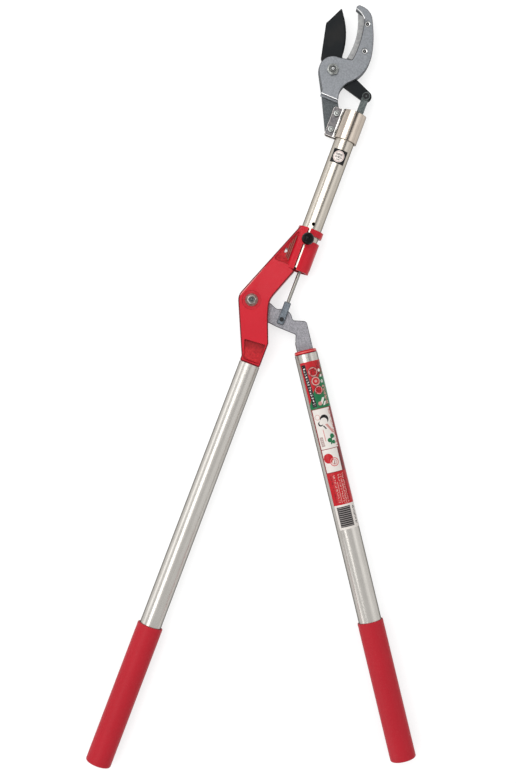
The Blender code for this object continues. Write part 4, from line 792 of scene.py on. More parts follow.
HANDLE_FILM = PrintedFilm("handle_film", "printed_film", RED, (
    Print(Mark.BLOCK, GREEN, (-4.0, 60.0), (153.0, 213.0), lean=0.62),
    Print(Mark.SPECKS, DARK_RED, (20.0, 60.0), (192.0, 211.0), 2.6),
    Print(Mark.BLOCK, INK, (4.2, 9.6), (156.0, 210.0), lean=-0.055),
    Print(Mark.STRIPES, PAPER, (5.4, 8.2), (158.0, 208.0), 3.4, lean=-0.055),
    Print(Mark.SPECKS, INK, (4.2, 9.6), (158.0, 208.0), 1.5, lean=-0.055),
    Print(Mark.DISC, INK, (14.6, 6.4), (199.5, 0.0)),
    Print(Mark.DISC, ROSE, (14.6, 5.8), (199.5, 0.0)),
    Print(Mark.DISC, RED, (14.6, 4.4), (199.5, 0.0)),
    Print(Mark.SPECKS, DARK_RED, (10.0, 19.0), (195.0, 204.0), 1.9),
    Print(Mark.DISC, INK, (15.4, 6.2), (187.5, 0.0)),
    Print(Mark.DISC, ROSE, (15.4, 5.6), (187.5, 0.0)),
    Print(Mark.DISC, RED, (15.4, 4.0), (187.5, 1.8)),
    Print(Mark.DISC, INK, (16.6, 5.8), (176.0, 0.0)),
    Print(Mark.DISC, ROSE, (16.6, 5.2), (176.0, 0.0)),
    Print(Mark.DISC, RED, (16.6, 3.8), (176.0, 0.0)),
    Print(Mark.SPECKS, DARK_RED, (12.0, 20.0), (172.0, 180.0), 1.9),
    Print(Mark.BLOCK, PAPER, (13.4, 17.0), (158.0, 166.0), lean=0.62),
    Print(Mark.BLOCK, PAPER, (17.6, 20.4), (156.4, 161.0), lean=0.62),
    Print(Mark.DISC, ROSE, (14.2, 2.4), (159.4, 0.0)),
    Print(Mark.DISC, PAPER, (23.4, 2.0), (200.0, 0.0)),
    Print(Mark.BLOCK, PAPER, (22.2, 25.6), (191.6, 194.6), lean=0.4),
    Print(Mark.DISC, PAPER, (24.2, 2.0), (186.0, 0.8)),
    Print(Mark.SPECKS, ROSE, (22.6, 27.4), (157.0, 181.0), 1.9),
    Print(Mark.BLOCK, DARK_RED, (0.0, 60.0), (72.0, 153.6)),
    Print(Mark.BLOCK, PAPER, (1.6, 25.4), (102.6, 152.8)),
    Print(Mark.SPECKS, ROSE, (22.6, 25.4), (104.0, 151.0), 2.4),
    Print(Mark.DISC, ROSE, (6.4, 3.4), (143.0, 2.8)),
    Print(Mark.DISC, INK, (14.6, 5.6), (139.4, 0.0)),
    Print(Mark.DISC, PAPER, (13.4, 4.6), (136.8, 0.0)),
    Print(Mark.DISC, INK, (8.6, 3.2), (134.4, 0.0)),
    Print(Mark.DISC, PAPER, (9.6, 2.4), (135.2, 0.0)),
    Print(Mark.BLOCK, ROSE, (21.0, 24.4), (121.0, 133.0), lean=-0.60),
    Print(Mark.BLOCK, GREY, (13.4, 15.2), (127.0, 131.6), lean=-0.60),
    Print(Mark.BLOCK, PINK, (9.6, 10.4), (112.0, 127.0)),
    Print(Mark.BLOCK, GREEN, (15.4, 17.4), (107.0, 120.0), lean=0.18),
    Print(Mark.DISC, GREEN, (19.6, 3.0), (117.0, 0.0)),
    Print(Mark.DISC, GREEN, (15.2, 2.8), (112.4, 0.0)),
    Print(Mark.DISC, GREEN, (20.0, 2.4), (109.4, 0.0)),
    Print(Mark.BLOCK, UMBER, (3.6, 8.0), (106.0, 118.0), lean=-0.06),
    Print(Mark.STRIPES, SAND, (4.4, 7.2), (107.0, 117.0), 2.2, lean=-0.06),
    Print(Mark.BLOCK, PAPER, (1.6, 22.6), (73.0, 101.8)),
    Print(Mark.SPECKS, GREY, (23.2, 25.8), (74.0, 101.0), 1.6),
    Print(Mark.DISC, RED, (8.0, 6.2), (90.4, 0.0)),
    Print(Mark.DISC, PINK, (14.6, 5.6), (85.0, 4.4)),
    Print(Mark.DISC, ROSE, (14.6, 3.4), (85.0, 2.4)),
    Print(Mark.BLOCK, DARK_RED, (13.4, 14.4), (82.0, 86.6), lean=0.30),
    Print(Mark.SPECKS, DARK_RED, (4.6, 6.6), (35.0, 68.0), 2.2),
    Print(Mark.SPECKS, ROSE, (8.2, 10.4), (33.0, 69.0), 1.7),
    Print(Mark.BLOCK, ROSE, (11.6, 12.4), (33.0, 60.0)),
    Print(Mark.SPECKS, ROSE, (14.0, 16.0), (32.0, 69.0), 1.5),
    Print(Mark.SPECKS, ROSE, (17.0, 19.0), (32.0, 69.0), 1.5),
    Print(Mark.SPECKS, ROSE, (20.0, 22.0), (32.0, 70.0), 1.5),
    Print(Mark.SPECKS, DARK_RED, (21.6, 24.6), (34.0, 68.0), 1.9),
    Print(Mark.BLOCK, PAPER, (0.0, 60.0), (0.0, 31.0)),
    Print(Mark.BLOCK, SMOKE, (3.2, 21.0), (3.0, 28.5)),
    Print(Mark.STRIPES, INK, (3.2, 21.0), (3.0, 28.5), 2.5),
    Print(Mark.SPECKS, INK, (24.4, 28.0), (4.0, 28.0), 1.6),
))
POLE_FILM = PrintedFilm("pole_film", "printed_film", INK, (
    Print(Mark.DISC, CREAM, (9.4, 7.3), (8.8, 0.0)),
    Print(Mark.DISC, MAROON, (9.4, 6.6), (8.8, 6.1)),
    Print(Mark.STRIPES, INK, (5.2, 13.6), (10.2, 12.6), 1.3),
    Print(Mark.SPECKS, INK, (5.0, 13.8), (6.8, 9.2), 1.0),
    Print(Mark.BLOCK, GREY, (7.6, 11.4), (4.4, 5.2)),
))


# Shapes


def turned(profile: Sequence[Point], sides: int = 96, closed: bool = False) -> bmesh.types.BMesh:
    """Turn a profile about the Y axis.

    Args:
        profile: (radius, place along Y) points.
        sides: steps round the axis.
        closed: whether the last point joins the first.

    Returns:
        The shape, which the caller frees.
    """
    shape = bmesh.new()
    rings = []
    for radius, along in profile:
        if radius <= 1e-7:
            rings.append([shape.verts.new((0.0, along, 0.0))] * sides)
            continue
        angles = [math.tau * step / sides for step in range(sides)]
        rings.append([shape.verts.new((radius * math.sin(a), along, radius * math.cos(a))) for a in angles])
    pairs = list(zip(rings, rings[1:]))
    if closed:
        pairs.append((rings[-1], rings[0]))
    for first, second in pairs:
        for step in range(sides):
            nearby = (step + 1) % sides
            corners = dict.fromkeys((first[step], first[nearby], second[nearby], second[step]))
            if len(corners) > 2:
                shape.faces.new(list(corners))
    bmesh.ops.recalc_face_normals(shape, faces=shape.faces)
    return shape


def upright(shape: bmesh.types.BMesh) -> bmesh.types.BMesh:
    """Stand a turned shape up, its +Y along +Z, and give the same shape back."""
    bmesh.ops.rotate(shape, verts=shape.verts, matrix=Matrix.Rotation(math.pi / 2, 3, "X"))
    return shape


def bar(radius: float, foot: float, top: float, sides: int = 32) -> bmesh.types.BMesh:
    """Bar along Z, from its foot to its top, that cuts a hole."""
    return upright(turned([(0.0, foot), (radius, foot), (radius, top), (0.0, top)], sides))


def new_object(name: str, shape: bmesh.types.BMesh) -> bpy.types.Object:
    """Put a shape in the scene.

    Args:
        name: the object's name and its mesh's.
        shape: the mesh under construction, freed here.

    Returns:
        The object.
    """
    mesh = bpy.data.meshes.new(name)
    shape.to_mesh(mesh)
    shape.free()
    made = bpy.data.objects.new(name, mesh)
    bpy.context.scene.collection.objects.link(made)
    return made


def arc_points(centre: Point, radius: float, start: float, stop: float, count: int) -> list[Point]:
    """Points on an arc from one direction to another, in degrees, in a count of steps with both ends."""
    angles = [math.radians(start + (stop - start) * step / count) for step in range(count + 1)]
    return [(centre[0] + radius * math.cos(a), centre[1] + radius * math.sin(a)) for a in angles]


def lock_nut(flats: float, height: float, bore: float, insert: bool) -> bmesh.types.BMesh:
    """Chamfered hexagon nut along Z from 0 up, with a round collar and insert if asked.

    Args:
        flats: width across the flats.
        height: whole height.
        bore: radius of the hole.
        insert: whether the nut has a collar that holds an insert, whose faces take the second material.

    Returns:
        The shape.
    """
    sides = 72
    chamfer = flats * 0.47
    hexagon_top = height * 0.66 if insert else height
    shape = bmesh.new()

    def ring(radius: float, level: float) -> list[bmesh.types.BMVert]:
        """Round ring of points."""
        angles = [math.tau * step / sides for step in range(sides)]
        return [shape.verts.new((radius * math.cos(a), radius * math.sin(a), level)) for a in angles]

    def hexagon(level: float, way: float) -> list[bmesh.types.BMVert]:
        """Six-sided ring whose corners fall back from the chamfer.

        Args:
            level: the ring's height.
            way: 1 where the corners fall, -1 where they rise.

        Returns:
            The ring's points.
        """
        points = []
        for step in range(sides):
            angle = math.tau * step / sides
            reach = flats / 2 / math.cos((angle + math.pi / 6) % (math.pi / 3) - math.pi / 6)
            drop = max(0.0, reach - chamfer) * 0.55
            corner = (reach * math.cos(angle), reach * math.sin(angle), level - way * drop)
            points.append(shape.verts.new(corner))
        return points

    rings = [ring(bore, 0.0), ring(chamfer, 0.0), hexagon(0.0, -1.0), hexagon(hexagon_top, 1.0),
             ring(chamfer, hexagon_top)]
    if insert:
        rings += [ring(flats * 0.435, hexagon_top), ring(flats * 0.43, height - 0.0005),
                  ring(flats * 0.39, height), ring(flats * 0.35, height - 0.0003)]
    rings += [ring(bore, rings[-1][0].co.z)]
    for index, (first, second) in enumerate(zip(rings, rings[1:] + rings[:1])):
        for step in range(sides):
            nearby = (step + 1) % sides
            face = shape.faces.new((first[step], first[nearby], second[nearby], second[step]))
            face.material_index = 1 if insert and index == len(rings) - 2 else 0
    bmesh.ops.recalc_face_normals(shape, faces=shape.faces)
    return shape


def threaded(radius: float, foot: float, top: float, pitch: float, depth: float) -> list[Point]:
    """Profile of a threaded bar's side from its foot to its chamfered end.

    Args:
        radius: outer radius.
        foot: lowest place.
        top: highest place.
        pitch: distance between crests.
        depth: depth of the grooves.

    Returns:
        (radius, place) points, from the axis at the foot to the axis at the top.
    """
    points = [(0.0, foot), (radius - depth, foot)]
    count = max(1, int((top - foot - depth) / pitch))
    for turn in range(count):
        start = foot + pitch * turn
        points += [(radius - depth, start + 0.1 * pitch), (radius, start + 0.45 * pitch),
                   (radius, start + 0.6 * pitch), (radius - depth, start + 0.95 * pitch)]
    points += [(radius - depth * 0.6, top - depth * 1.2), (radius - depth * 1.8, top), (0.0, top)]
    return points


def bolt_end(shank: list[Point], radius: float, top: float) -> list[Point]:
    """Shank profile whose end has a groove round a raised middle.

    Args:
        shank: profile that ends with the chamfer, its inner corner and the axis.
        radius: the bolt's radius.
        top: the end's highest place.

    Returns:
        The profile with the end's rings.
    """
    rings = [(radius * 0.78, top), (radius * 0.74, top - 0.0007), (radius * 0.52, top - 0.0007),
             (radius * 0.47, top - 0.0001), (radius * 0.14, top - 0.0001), (radius * 0.10, top - 0.0004),
             (0.0, top - 0.0004)]
    return shank[:-2] + [(radius * 0.86, top)] + rings


def paint_end(piece: bpy.types.Object, radius: float, top: Vector, middle: Finish) -> None:
    """Paint shade into the groove in a bolt's end and give its raised middle a finish.

    Args:
        piece: the bolt.
        radius: the bolt's radius.
        top: middle of its end.
        middle: the raised middle's finish.
    """
    level = Vector((top.x, top.y, top.z - 0.0010))
    # Painted shade in the groove.
    paint(piece, GROOVE_SHADE, within(level, radius * 0.50, radius * 0.76))
    paint(piece, middle, within(level, radius * 0.12, radius * 0.48))


def smooth(piece: bpy.types.Object, sharp: float = 32.0) -> None:
    """Shade a piece smooth with its corners kept.

    Args:
        piece: the mesh object.
        sharp: least angle of a corner in degrees.
    """
    piece.data.shade_smooth()
    piece.data.set_sharp_from_angle(angle=math.radians(sharp))
    even = piece.modifiers.new("even_normals", "WEIGHTED_NORMAL")
    even.keep_sharp = True
    even.weight = 100


@dataclass(frozen=True)
class Fastener:
    """Sizes of a round-headed bolt along Z and of its hexagon nut.

    Attributes:
        head_chamfer: the chamfer's width and height at the head's foot.
        pitch: distance between the thread's crests.
        groove: depth of the thread.
        nut_flats: the nut's width across its flats.
        sides: steps round the bolt.
        locking: whether the nut has an insert and the bolt's end a groove round its middle.
    """

    radius: float
    head_radius: float
    head_height: float
    head_chamfer: Point
    pitch: float
    groove: float
    nut_flats: float
    sides: int
    locking: bool = True


@dataclass
class Assembly:
    """Pieces that ride on one body of the tool."""

    body: str
    pieces: list[str] = field(default_factory=list, init=False)

    def add(self, name: str, shape: bmesh.types.BMesh, finish: Finish | PrintedFilm, nodes: Sequence[str],
            place: Matrix | None = None, more: Sequence[Finish] = (), sharp: float = 32.0) -> bpy.types.Object:
        """Make a piece from a shape, dress it and let it ride in place of its nodes.

        Args:
            name: the piece's name.
            shape: its mesh under construction, freed here.
            finish: its finish.
            nodes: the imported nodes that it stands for.
            place: where its own axes lie.
            more: finishes of its further material slots.
            sharp: least angle of a corner in degrees.

        Returns:
            The piece.
        """
        piece = new_object(name, shape)
        if place is not None:
            piece.matrix_world = place
        for each in (finish, *more):
            piece.data.materials.append(each.material())
        smooth(piece, sharp)
        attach(piece, self.body)
        if nodes:
            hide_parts(*nodes)
        self.pieces.append(name)
        LOG.info("%s: %s", self.body, name)
        return piece

    def refined(self, node: str, name: str, finish: Finish, sharp: float = 32.0) -> bpy.types.Object:
        """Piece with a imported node's own outline, its facets joined and shaded as round.

        Args:
            node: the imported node.
            name: the piece's name.
            finish: its finish.
            sharp: least angle of a corner in degrees.

        Returns:
            The piece.
        """
        shape = bmesh.new()
        shape.from_mesh(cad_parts[node].data)
        bmesh.ops.remove_doubles(shape, verts=shape.verts, dist=1e-6)
        bmesh.ops.dissolve_limit(shape, angle_limit=math.radians(0.4), verts=shape.verts, edges=shape.edges)
        return self.add(name, shape, finish, [node], sharp=sharp)

    def fasten(self, sizes: Fastener, nodes: Pair, names: Pair, finish: Finish) -> tuple[Any, Vector]:
        """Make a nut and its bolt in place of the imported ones.

        Args:
            sizes: the fastener's sizes.
            nodes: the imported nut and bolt.
            names: the names of the new nut and bolt.
            finish: the nut's finish.

        Returns:
            The bolt, and the middle of its threaded end.
        """
        low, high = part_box(nodes[0])
        middle = (low + high) / 2
        shape = lock_nut(sizes.nut_flats, high.z - low.z, sizes.radius + PLAY, sizes.locking)
        self.add(names[0], shape, finish, [nodes[0]], Matrix.Translation((middle.x, middle.y, low.z)),
                 [NYLON] if sizes.locking else [])
        low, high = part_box(nodes[1])
        seat = low.z + sizes.head_height
        edge = sizes.head_radius
        profile = [(0.0, low.z), (edge - sizes.head_chamfer[0], low.z), (edge, low.z + sizes.head_chamfer[1]),
                   (edge, seat)]
        shank = threaded(sizes.radius, seat, high.z, sizes.pitch, sizes.groove)[1:]
        profile += bolt_end(shank, sizes.radius, high.z) if sizes.locking else shank
        bolt = self.add(names[1], upright(turned(profile, sizes.sides)), NUT, [nodes[1]],
                        Matrix.Translation((middle.x, middle.y, 0.0)))
        return bolt, Vector((middle.x, middle.y, high.z))

    def dress(self, node: str, finish: Finish) -> None:
        """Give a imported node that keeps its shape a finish.

        Args:
            node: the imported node.
            finish: its finish.
        """
        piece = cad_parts[node]
        for slot in piece.material_slots:
            slot.material = finish.material()
        LOG.info("%s: %s keeps its shape", self.body, node)


def cut(piece: bpy.types.Object, shapes: Sequence[bmesh.types.BMesh], place: Matrix) -> None:
    """Cut shapes out of a piece for good.

    Args:
        piece: the piece, whose first modifiers these become.
        shapes: cutters, freed here.
        place: where the cutters' axes lie.
    """
    for shape in shapes:
        tool = new_object("cutter", shape)
        mesh = tool.data
        tool.matrix_world = place
        change = piece.modifiers.new("cut", "BOOLEAN")
        change.object = tool
        others = [other for other in piece.modifiers if other != change]
        for other in others:
            other.show_viewport = False
        bpy.context.view_layer.update()
        result = bpy.data.meshes.new_from_object(piece.evaluated_get(bpy.context.evaluated_depsgraph_get()))
        for other in others:
            other.show_viewport = True
        piece.modifiers.remove(change)
        old = piece.data
        piece.data = result
        bpy.data.meshes.remove(old)
        bpy.data.objects.remove(tool)
        bpy.data.meshes.remove(mesh)


def round_normals(piece: bpy.types.Object) -> None:
    """Give a tube along its own Y true round normals, whatever holes cut its faces.

    Args:
        piece: the tube.
    """
    for change in list(piece.modifiers):
        piece.modifiers.remove(change)
    mesh = piece.data
    normals = [Vector()] * len(mesh.loops)
    for face in mesh.polygons:
        radial = Vector((face.center.x, 0.0, face.center.z)).normalized()
        facing = face.normal.dot(radial)
        for loop in face.loop_indices:
            spot = mesh.vertices[mesh.loops[loop].vertex_index].co
            if abs(facing) > FLAT:
                normals[loop] = Vector((spot.x, 0.0, spot.z)).normalized() * math.copysign(1.0, facing)
            else:
                normals[loop] = face.normal.copy()
    mesh.shade_smooth()
    mesh.normals_split_custom_set(normals)


def paint(piece: bpy.types.Object, finish: Finish, chosen: Choice) -> None:
    """Give some faces of a piece a further finish.

    Args:
        piece: the piece.
        finish: their finish.
        chosen: tells from a face's middle and normal, in the tool's frame, whether it takes the finish.
    """
    bpy.context.view_layer.update()
    mesh = piece.data
    mesh.materials.append(finish.material())
    place = piece.matrix_world
    turn = place.to_3x3()
    for face in mesh.polygons:
        if chosen(place @ face.center, turn @ face.normal):
            face.material_index = len(mesh.materials) - 1


def within(centre: Vector, inner: float, outer: float) -> Choice:
    """Choice of the faces in a ring round an upright axis and above a level.

    Args:
        centre: a point of the axis at the level.
        inner: least distance from the axis.
        outer: greatest distance from the axis.

    Returns:
        The choice.
    """
    def chosen(spot: Vector, _: Vector) -> bool:
        """Whether a face's middle lies in the ring."""
        return inner < (spot - centre).xy.length < outer and spot.z > centre.z
    return chosen


def sloped(way: Point, level: float, spread: float = 0.75) -> Choice:
    """Choice of the chamfers above a level that fall away in one direction.

    Args:
        way: the direction seen from above, as a unit vector, or (0, 0) for all directions.
        level: lowest place.
        spread: least share of the slope's own direction along the given one.

    Returns:
        The choice.
    """
    every = way == (0.0, 0.0)

    def chosen(spot: Vector, normal: Vector) -> bool:
        """Whether a face is such a chamfer.

        Args:
            spot: the face's middle.
            normal: the way it faces.

        Returns:
            True on such a chamfer.
        """
        if not 0.2 < normal.z < 0.95 or spot.z < level:
            return False
        return every or normal.xy.normalized().dot(Vector(way)) > spread
    return chosen


# Sub-assemblies


@dataclass
class Handle(Assembly):
    """Aluminium tube and its sleeve grip, along their own +Y up to the head."""

    name: str = "left"
    origin: Point = (-0.152980, 0.035022)
    angle: float = -0.23
    tube_top: float = -0.0003
    top_radius: float = 0.0131
    foot_radius: float = 0.01405
    wall: float = 0.0013
    length: float = 0.5360
    grip_length: float = 0.1870
    grip_radius: float = 0.0163
    grip_end: float = 0.0060

    @property
    def place(self) -> Matrix:
        """Axes of the handle in the tool's frame."""
        turn = Matrix.Rotation(math.radians(self.angle), 4, "Z")
        return Matrix.Translation((*self.origin, MIDDLE)) @ turn

    def build(self) -> None:
        """Make the tube and the grip."""
        foot = self.grip_end + FIT - self.length
        profile = [
            (self.top_radius - self.wall, self.tube_top),
            (self.top_radius - RIM, self.tube_top),
            (self.top_radius, self.tube_top - RIM),
            (self.foot_radius, foot + RIM),
            (self.foot_radius - RIM, foot),
            (self.foot_radius - self.wall, foot),
        ]
        self.add(self.name + "_tube_skin", turned(profile, 128, True), TUBE, [self.name + "_handle_tube"],
                 self.place)
        self.add(self.name + "_sleeve", turned(self._sleeve(), 128), GRIP, [self.name + "_grip"], self.place)

    def _sleeve(self) -> list[Point]:
        """Profile of the grip: rolled lip, a faint swell by the mouth and a domed closed end.

        Returns:
            (radius, place) points.
        """
        bore = self.foot_radius + FIT
        outer = self.grip_radius
        top = self.grip_length - self.length
        foot = -self.length
        lip = min(0.0009, (outer - bore) * 0.45)
        points = [(0.0, foot + self.grip_end), (bore, foot + self.grip_end), (bore, top)]
        points += arc_points((outer - lip, top - lip), lip, 90.0, 0.0, 5)
        points += [(outer, top - 0.004), (outer - 0.00012, top - 0.0055), (outer - 0.00012, top - 0.0065),
                   (outer, top - 0.008)]
        points += arc_points((outer - 0.0024, foot + 0.0044), 0.0024, 0.0, -70.0, 6)
        edge = points[-1]
        for share in (0.85, 0.65, 0.45, 0.2):
            points.append((edge[0] * share, foot + (edge[1] - foot) * share ** 2.4))
        points.append((0.0, foot))
        return points


@dataclass
class MovingHandle(Handle):
    """Handle on the lever, with the ring that closes its tube and the film round it."""

    label_from: float = -46.0
    label_to: float = 154.0
    label_top: float = -0.0150
    label_length: float = 0.2130
    ring_highlight: Point = (-0.0028, -0.0017)
    ring_foot: float = -0.0038

    def build(self) -> None:
        """Make the tube, grip, ring and label."""
        super().build()
        self._ring()
        film = film_strip(self.top_radius + FILM, (self.label_from, self.label_to),
                          (self.label_top - self.label_length, self.label_top))
        self.add("handle_film_wrap", film, HANDLE_FILM, ["handle_label"], self.place)

    def _ring(self) -> None:
        """Make the ring that closes the tube, with a painted highlight band round it and painted shade on its
        foot.
        """
        ring = self.refined("tube_plug", "mouth_ring", CASTING)
        bpy.context.view_layer.update()
        way = ring.matrix_world.inverted() @ self.place
        shape = bmesh.new()
        shape.from_mesh(ring.data)
        for level in (*self.ring_highlight, self.ring_foot):
            parts = [*shape.faces, *shape.edges, *shape.verts]
            bmesh.ops.bisect_plane(shape, geom=parts, plane_co=way @ Vector((0.0, level, 0.0)),
                                   plane_no=way.to_3x3() @ Vector((0.0, 1.0, 0.0)))
        shape.to_mesh(ring.data)
        shape.free()
        back = self.place.inverted()
        # Painted highlight on the band, painted shade on the foot.
        paint(ring, BAND_HIGHLIGHT, lambda spot, _: self.ring_highlight[0] < (back @ spot).y < self.ring_highlight[1])
        paint(ring, SHADED, lambda spot, _: (back @ spot).y < self.ring_foot)


def film_strip(radius: float, spread: Point, reach: Point) -> bmesh.types.BMesh:
    """Thin film round part of a tube along Y, mapped in metres from its lower left corner.

    Args:
        radius: inner radius of the film.
        spread: first and last direction, in degrees from +Z towards +X.
        reach: lowest and highest place along Y.

    Returns:
        The shape, with a map named film.
    """
    shape = bmesh.new()
    layer = shape.loops.layers.uv.new("film")
    steps = math.ceil((spread[1] - spread[0]) / 4.0)
    rows = 12
    width = (radius + FILM) * math.radians(spread[1] - spread[0])
    sheets = []
    for level in (radius, radius + FILM):
        grid = []
        for step in range(steps + 1):
            angle = math.radians(spread[0] + (spread[1] - spread[0]) * step / steps)
            column = []
            for row in range(rows + 1):
                along = reach[0] + (reach[1] - reach[0]) * row / rows
                column.append(shape.verts.new((level * math.sin(angle), along, level * math.cos(angle))))
            grid.append(column)
        sheets.append(grid)

    def face(corners: Sequence[tuple[int, int, int]]) -> None:
        """Add one face.

        Args:
            corners: sheet, step and row of each corner.
        """
        made = shape.faces.new([sheets[s][i][j] for s, i, j in corners])
        for loop, (_, i, j) in zip(made.loops, corners):
            loop[layer].uv = (width * i / steps, (reach[1] - reach[0]) * j / rows)

    for i in range(steps):
        for j in range(rows):
            face(((1, i, j), (1, i + 1, j), (1, i + 1, j + 1), (1, i, j + 1)))
            face(((0, i, j), (0, i, j + 1), (0, i + 1, j + 1), (0, i + 1, j)))
    for i in range(steps):
        for j in (0, rows):
            face(((0, i, j), (0, i + 1, j), (1, i + 1, j), (1, i, j)))
    for j in range(rows):
        for i in (0, steps):
            face(((0, i, j), (1, i, j), (1, i, j + 1), (0, i, j + 1)))
    bmesh.ops.recalc_face_normals(shape, faces=shape.faces)
    return shape


@dataclass
class Bracket(Assembly):
    """Red casting with the main pivot's washer, nut and bolt."""

    pivot: Fastener = Fastener(0.0030, 0.0050, 0.0040, (0.0004, 0.0005), 0.0010, 0.0003, 0.0100, 48)
    front: float = MIDDLE + 0.0120
    chamfer: float = 0.0016
    rib_foot: float = 0.1500
    pocket_top: float = 0.0800
    socket_left: float = -0.1580
    slant: Point = (-0.80, 0.60)
    line: float = 0.0010
    floor: Point = (MIDDLE + 0.0050, MIDDLE + 0.0100)
    rib_top: Point = (MIDDLE + 0.0110, MIDDLE + 0.0117)

    def build(self) -> None:
        """Make the casting and its pivot."""
        casting = self.refined("bracket", "bracket_casting", CASTING, CAST_SHARP)
        # Painted shade on every chamfer clear of the socket.
        shaded = sloped((0.0, 0.0), self.front - self.chamfer)
        paint(casting, SHADED, lambda spot, normal: shaded(spot, normal) and self._off_socket(spot))
        self._bright_line(casting)
        # Painted shade on the sunk floors.
        paint(casting, RECESS_SHADE, self._in_pocket)
        # Painted shadow towards the top of the pocket at the foot.
        paint(casting, POCKET_SHADOW, lambda spot, normal: self._in_pocket(spot, normal) and spot.y < self.pocket_top)
        paint(casting, WEB, self._on_rib)
        self.refined("main_pivot_washer", "toothed_washer", WASHER, 25.0)
        bolt, top = self.fasten(self.pivot, ("main_pivot_nut", "main_pivot_bolt"),
                                ("pivot_lock_nut", "pivot_bolt"), PALE_NUT)
        paint_end(bolt, self.pivot.radius, top, GUNMETAL)

    def _bright_line(self, casting: bpy.types.Object) -> None:
        """Split a narrow strip off the front face along the slanted edge and paint a highlight on it.

        Args:
            casting: the casting, whose mesh lies in the tool's frame.
        """
        mesh = casting.data
        chosen = sloped(self.slant, self.front - self.chamfer)
        chamfer = [face for face in mesh.polygons
                   if chosen(face.center, face.normal) and self._off_socket(face.center)]
        outward = Vector()
        for face in chamfer:
            outward += Vector((face.normal.x, face.normal.y, 0.0)) * face.area
        outward.normalize()
        along = Vector((-outward.y, outward.x, 0.0))
        corners = [mesh.vertices[index].co for face in chamfer for index in face.vertices]
        reach = max(corner.dot(outward) for corner in corners if corner.z > self.front - LEVEL_FIT / 2)
        start = min(corner.dot(along) for corner in corners)
        stop = max(corner.dot(along) for corner in corners)
        shape = bmesh.new()
        shape.from_mesh(mesh)
        front = [face for face in shape.faces if self._on_front(face.calc_center_median(), face.normal)]
        edges = {edge for face in front for edge in face.edges}
        ends = {point for face in front for point in face.verts}
        parts = [*front, *edges, *ends]
        bmesh.ops.bisect_plane(shape, geom=parts, plane_co=outward * (reach - self.line), plane_no=outward)
        shape.to_mesh(mesh)
        shape.free()

        def on_strip(spot: Vector, normal: Vector) -> bool:
            """Whether a face is part of the strip."""
            near = spot.dot(outward) > reach - self.line and start < spot.dot(along) < stop
            return near and self._on_front(spot, normal)
        # Painted highlight along the slanted edge.
        paint(casting, EDGE_HIGHLIGHT, on_strip)

    def _on_front(self, spot: Vector, normal: Vector) -> bool:
        """Whether a face with this middle and normal lies in the front plane."""
        return normal.z > 0.99 and abs(spot.z - self.front) < LEVEL_FIT

    def _off_socket(self, spot: Vector) -> bool:
        """Whether a place is clear of the socket."""
        return spot.y < self.rib_foot or spot.x < self.socket_left

    def _in_pocket(self, spot: Vector, normal: Vector) -> bool:
        """Whether a face is the floor of a sunk place: the pocket at the foot or the recess by the socket."""
        sunk = self.floor[0] < spot.z < self.floor[1]
        return sunk and normal.z > 0.9 and (spot.y < self.pocket_top or spot.y > self.rib_foot)

    def _on_rib(self, spot: Vector, normal: Vector) -> bool:
        """Whether a face is the top of a rib in the recess beside the socket."""
        return self.rib_top[0] < spot.z < self.rib_top[1] and normal.z > 0.9 and spot.y > self.rib_foot


@dataclass
class LeverArm(Assembly):
    """Grey casting that turns on the main pivot, with its bush."""

    def build(self) -> None:
        """Make the casting and dress the bush."""
        casting = self.refined("lever", "lever_casting", LEVER, CAST_SHARP)
        # Painted shade on every chamfer.
        paint(casting, EDGE_SHADE, sloped((0.0, 0.0), MIDDLE))
        self.dress("pivot_bush", BRONZE)


@dataclass
class PullRod(Assembly):
    """Clevis, pin, rod, straps and rivet between the lever and the blade's tail."""

    def build(self) -> None:
        """Make each piece of the rod."""
        for node, name, finish in (("clevis", "clevis_fork", CLEVIS), ("clevis_pin", "clevis_rivet", PIN),
                                   ("link_strap_front", "front_strap", GUNMETAL),
                                   ("link_strap_rear", "rear_strap", GUNMETAL),
                                   ("rod_rivet", "strap_rivet", ZINC), ("push_rod", "pull_rod", ROD)):
            self.refined(node, name, finish)


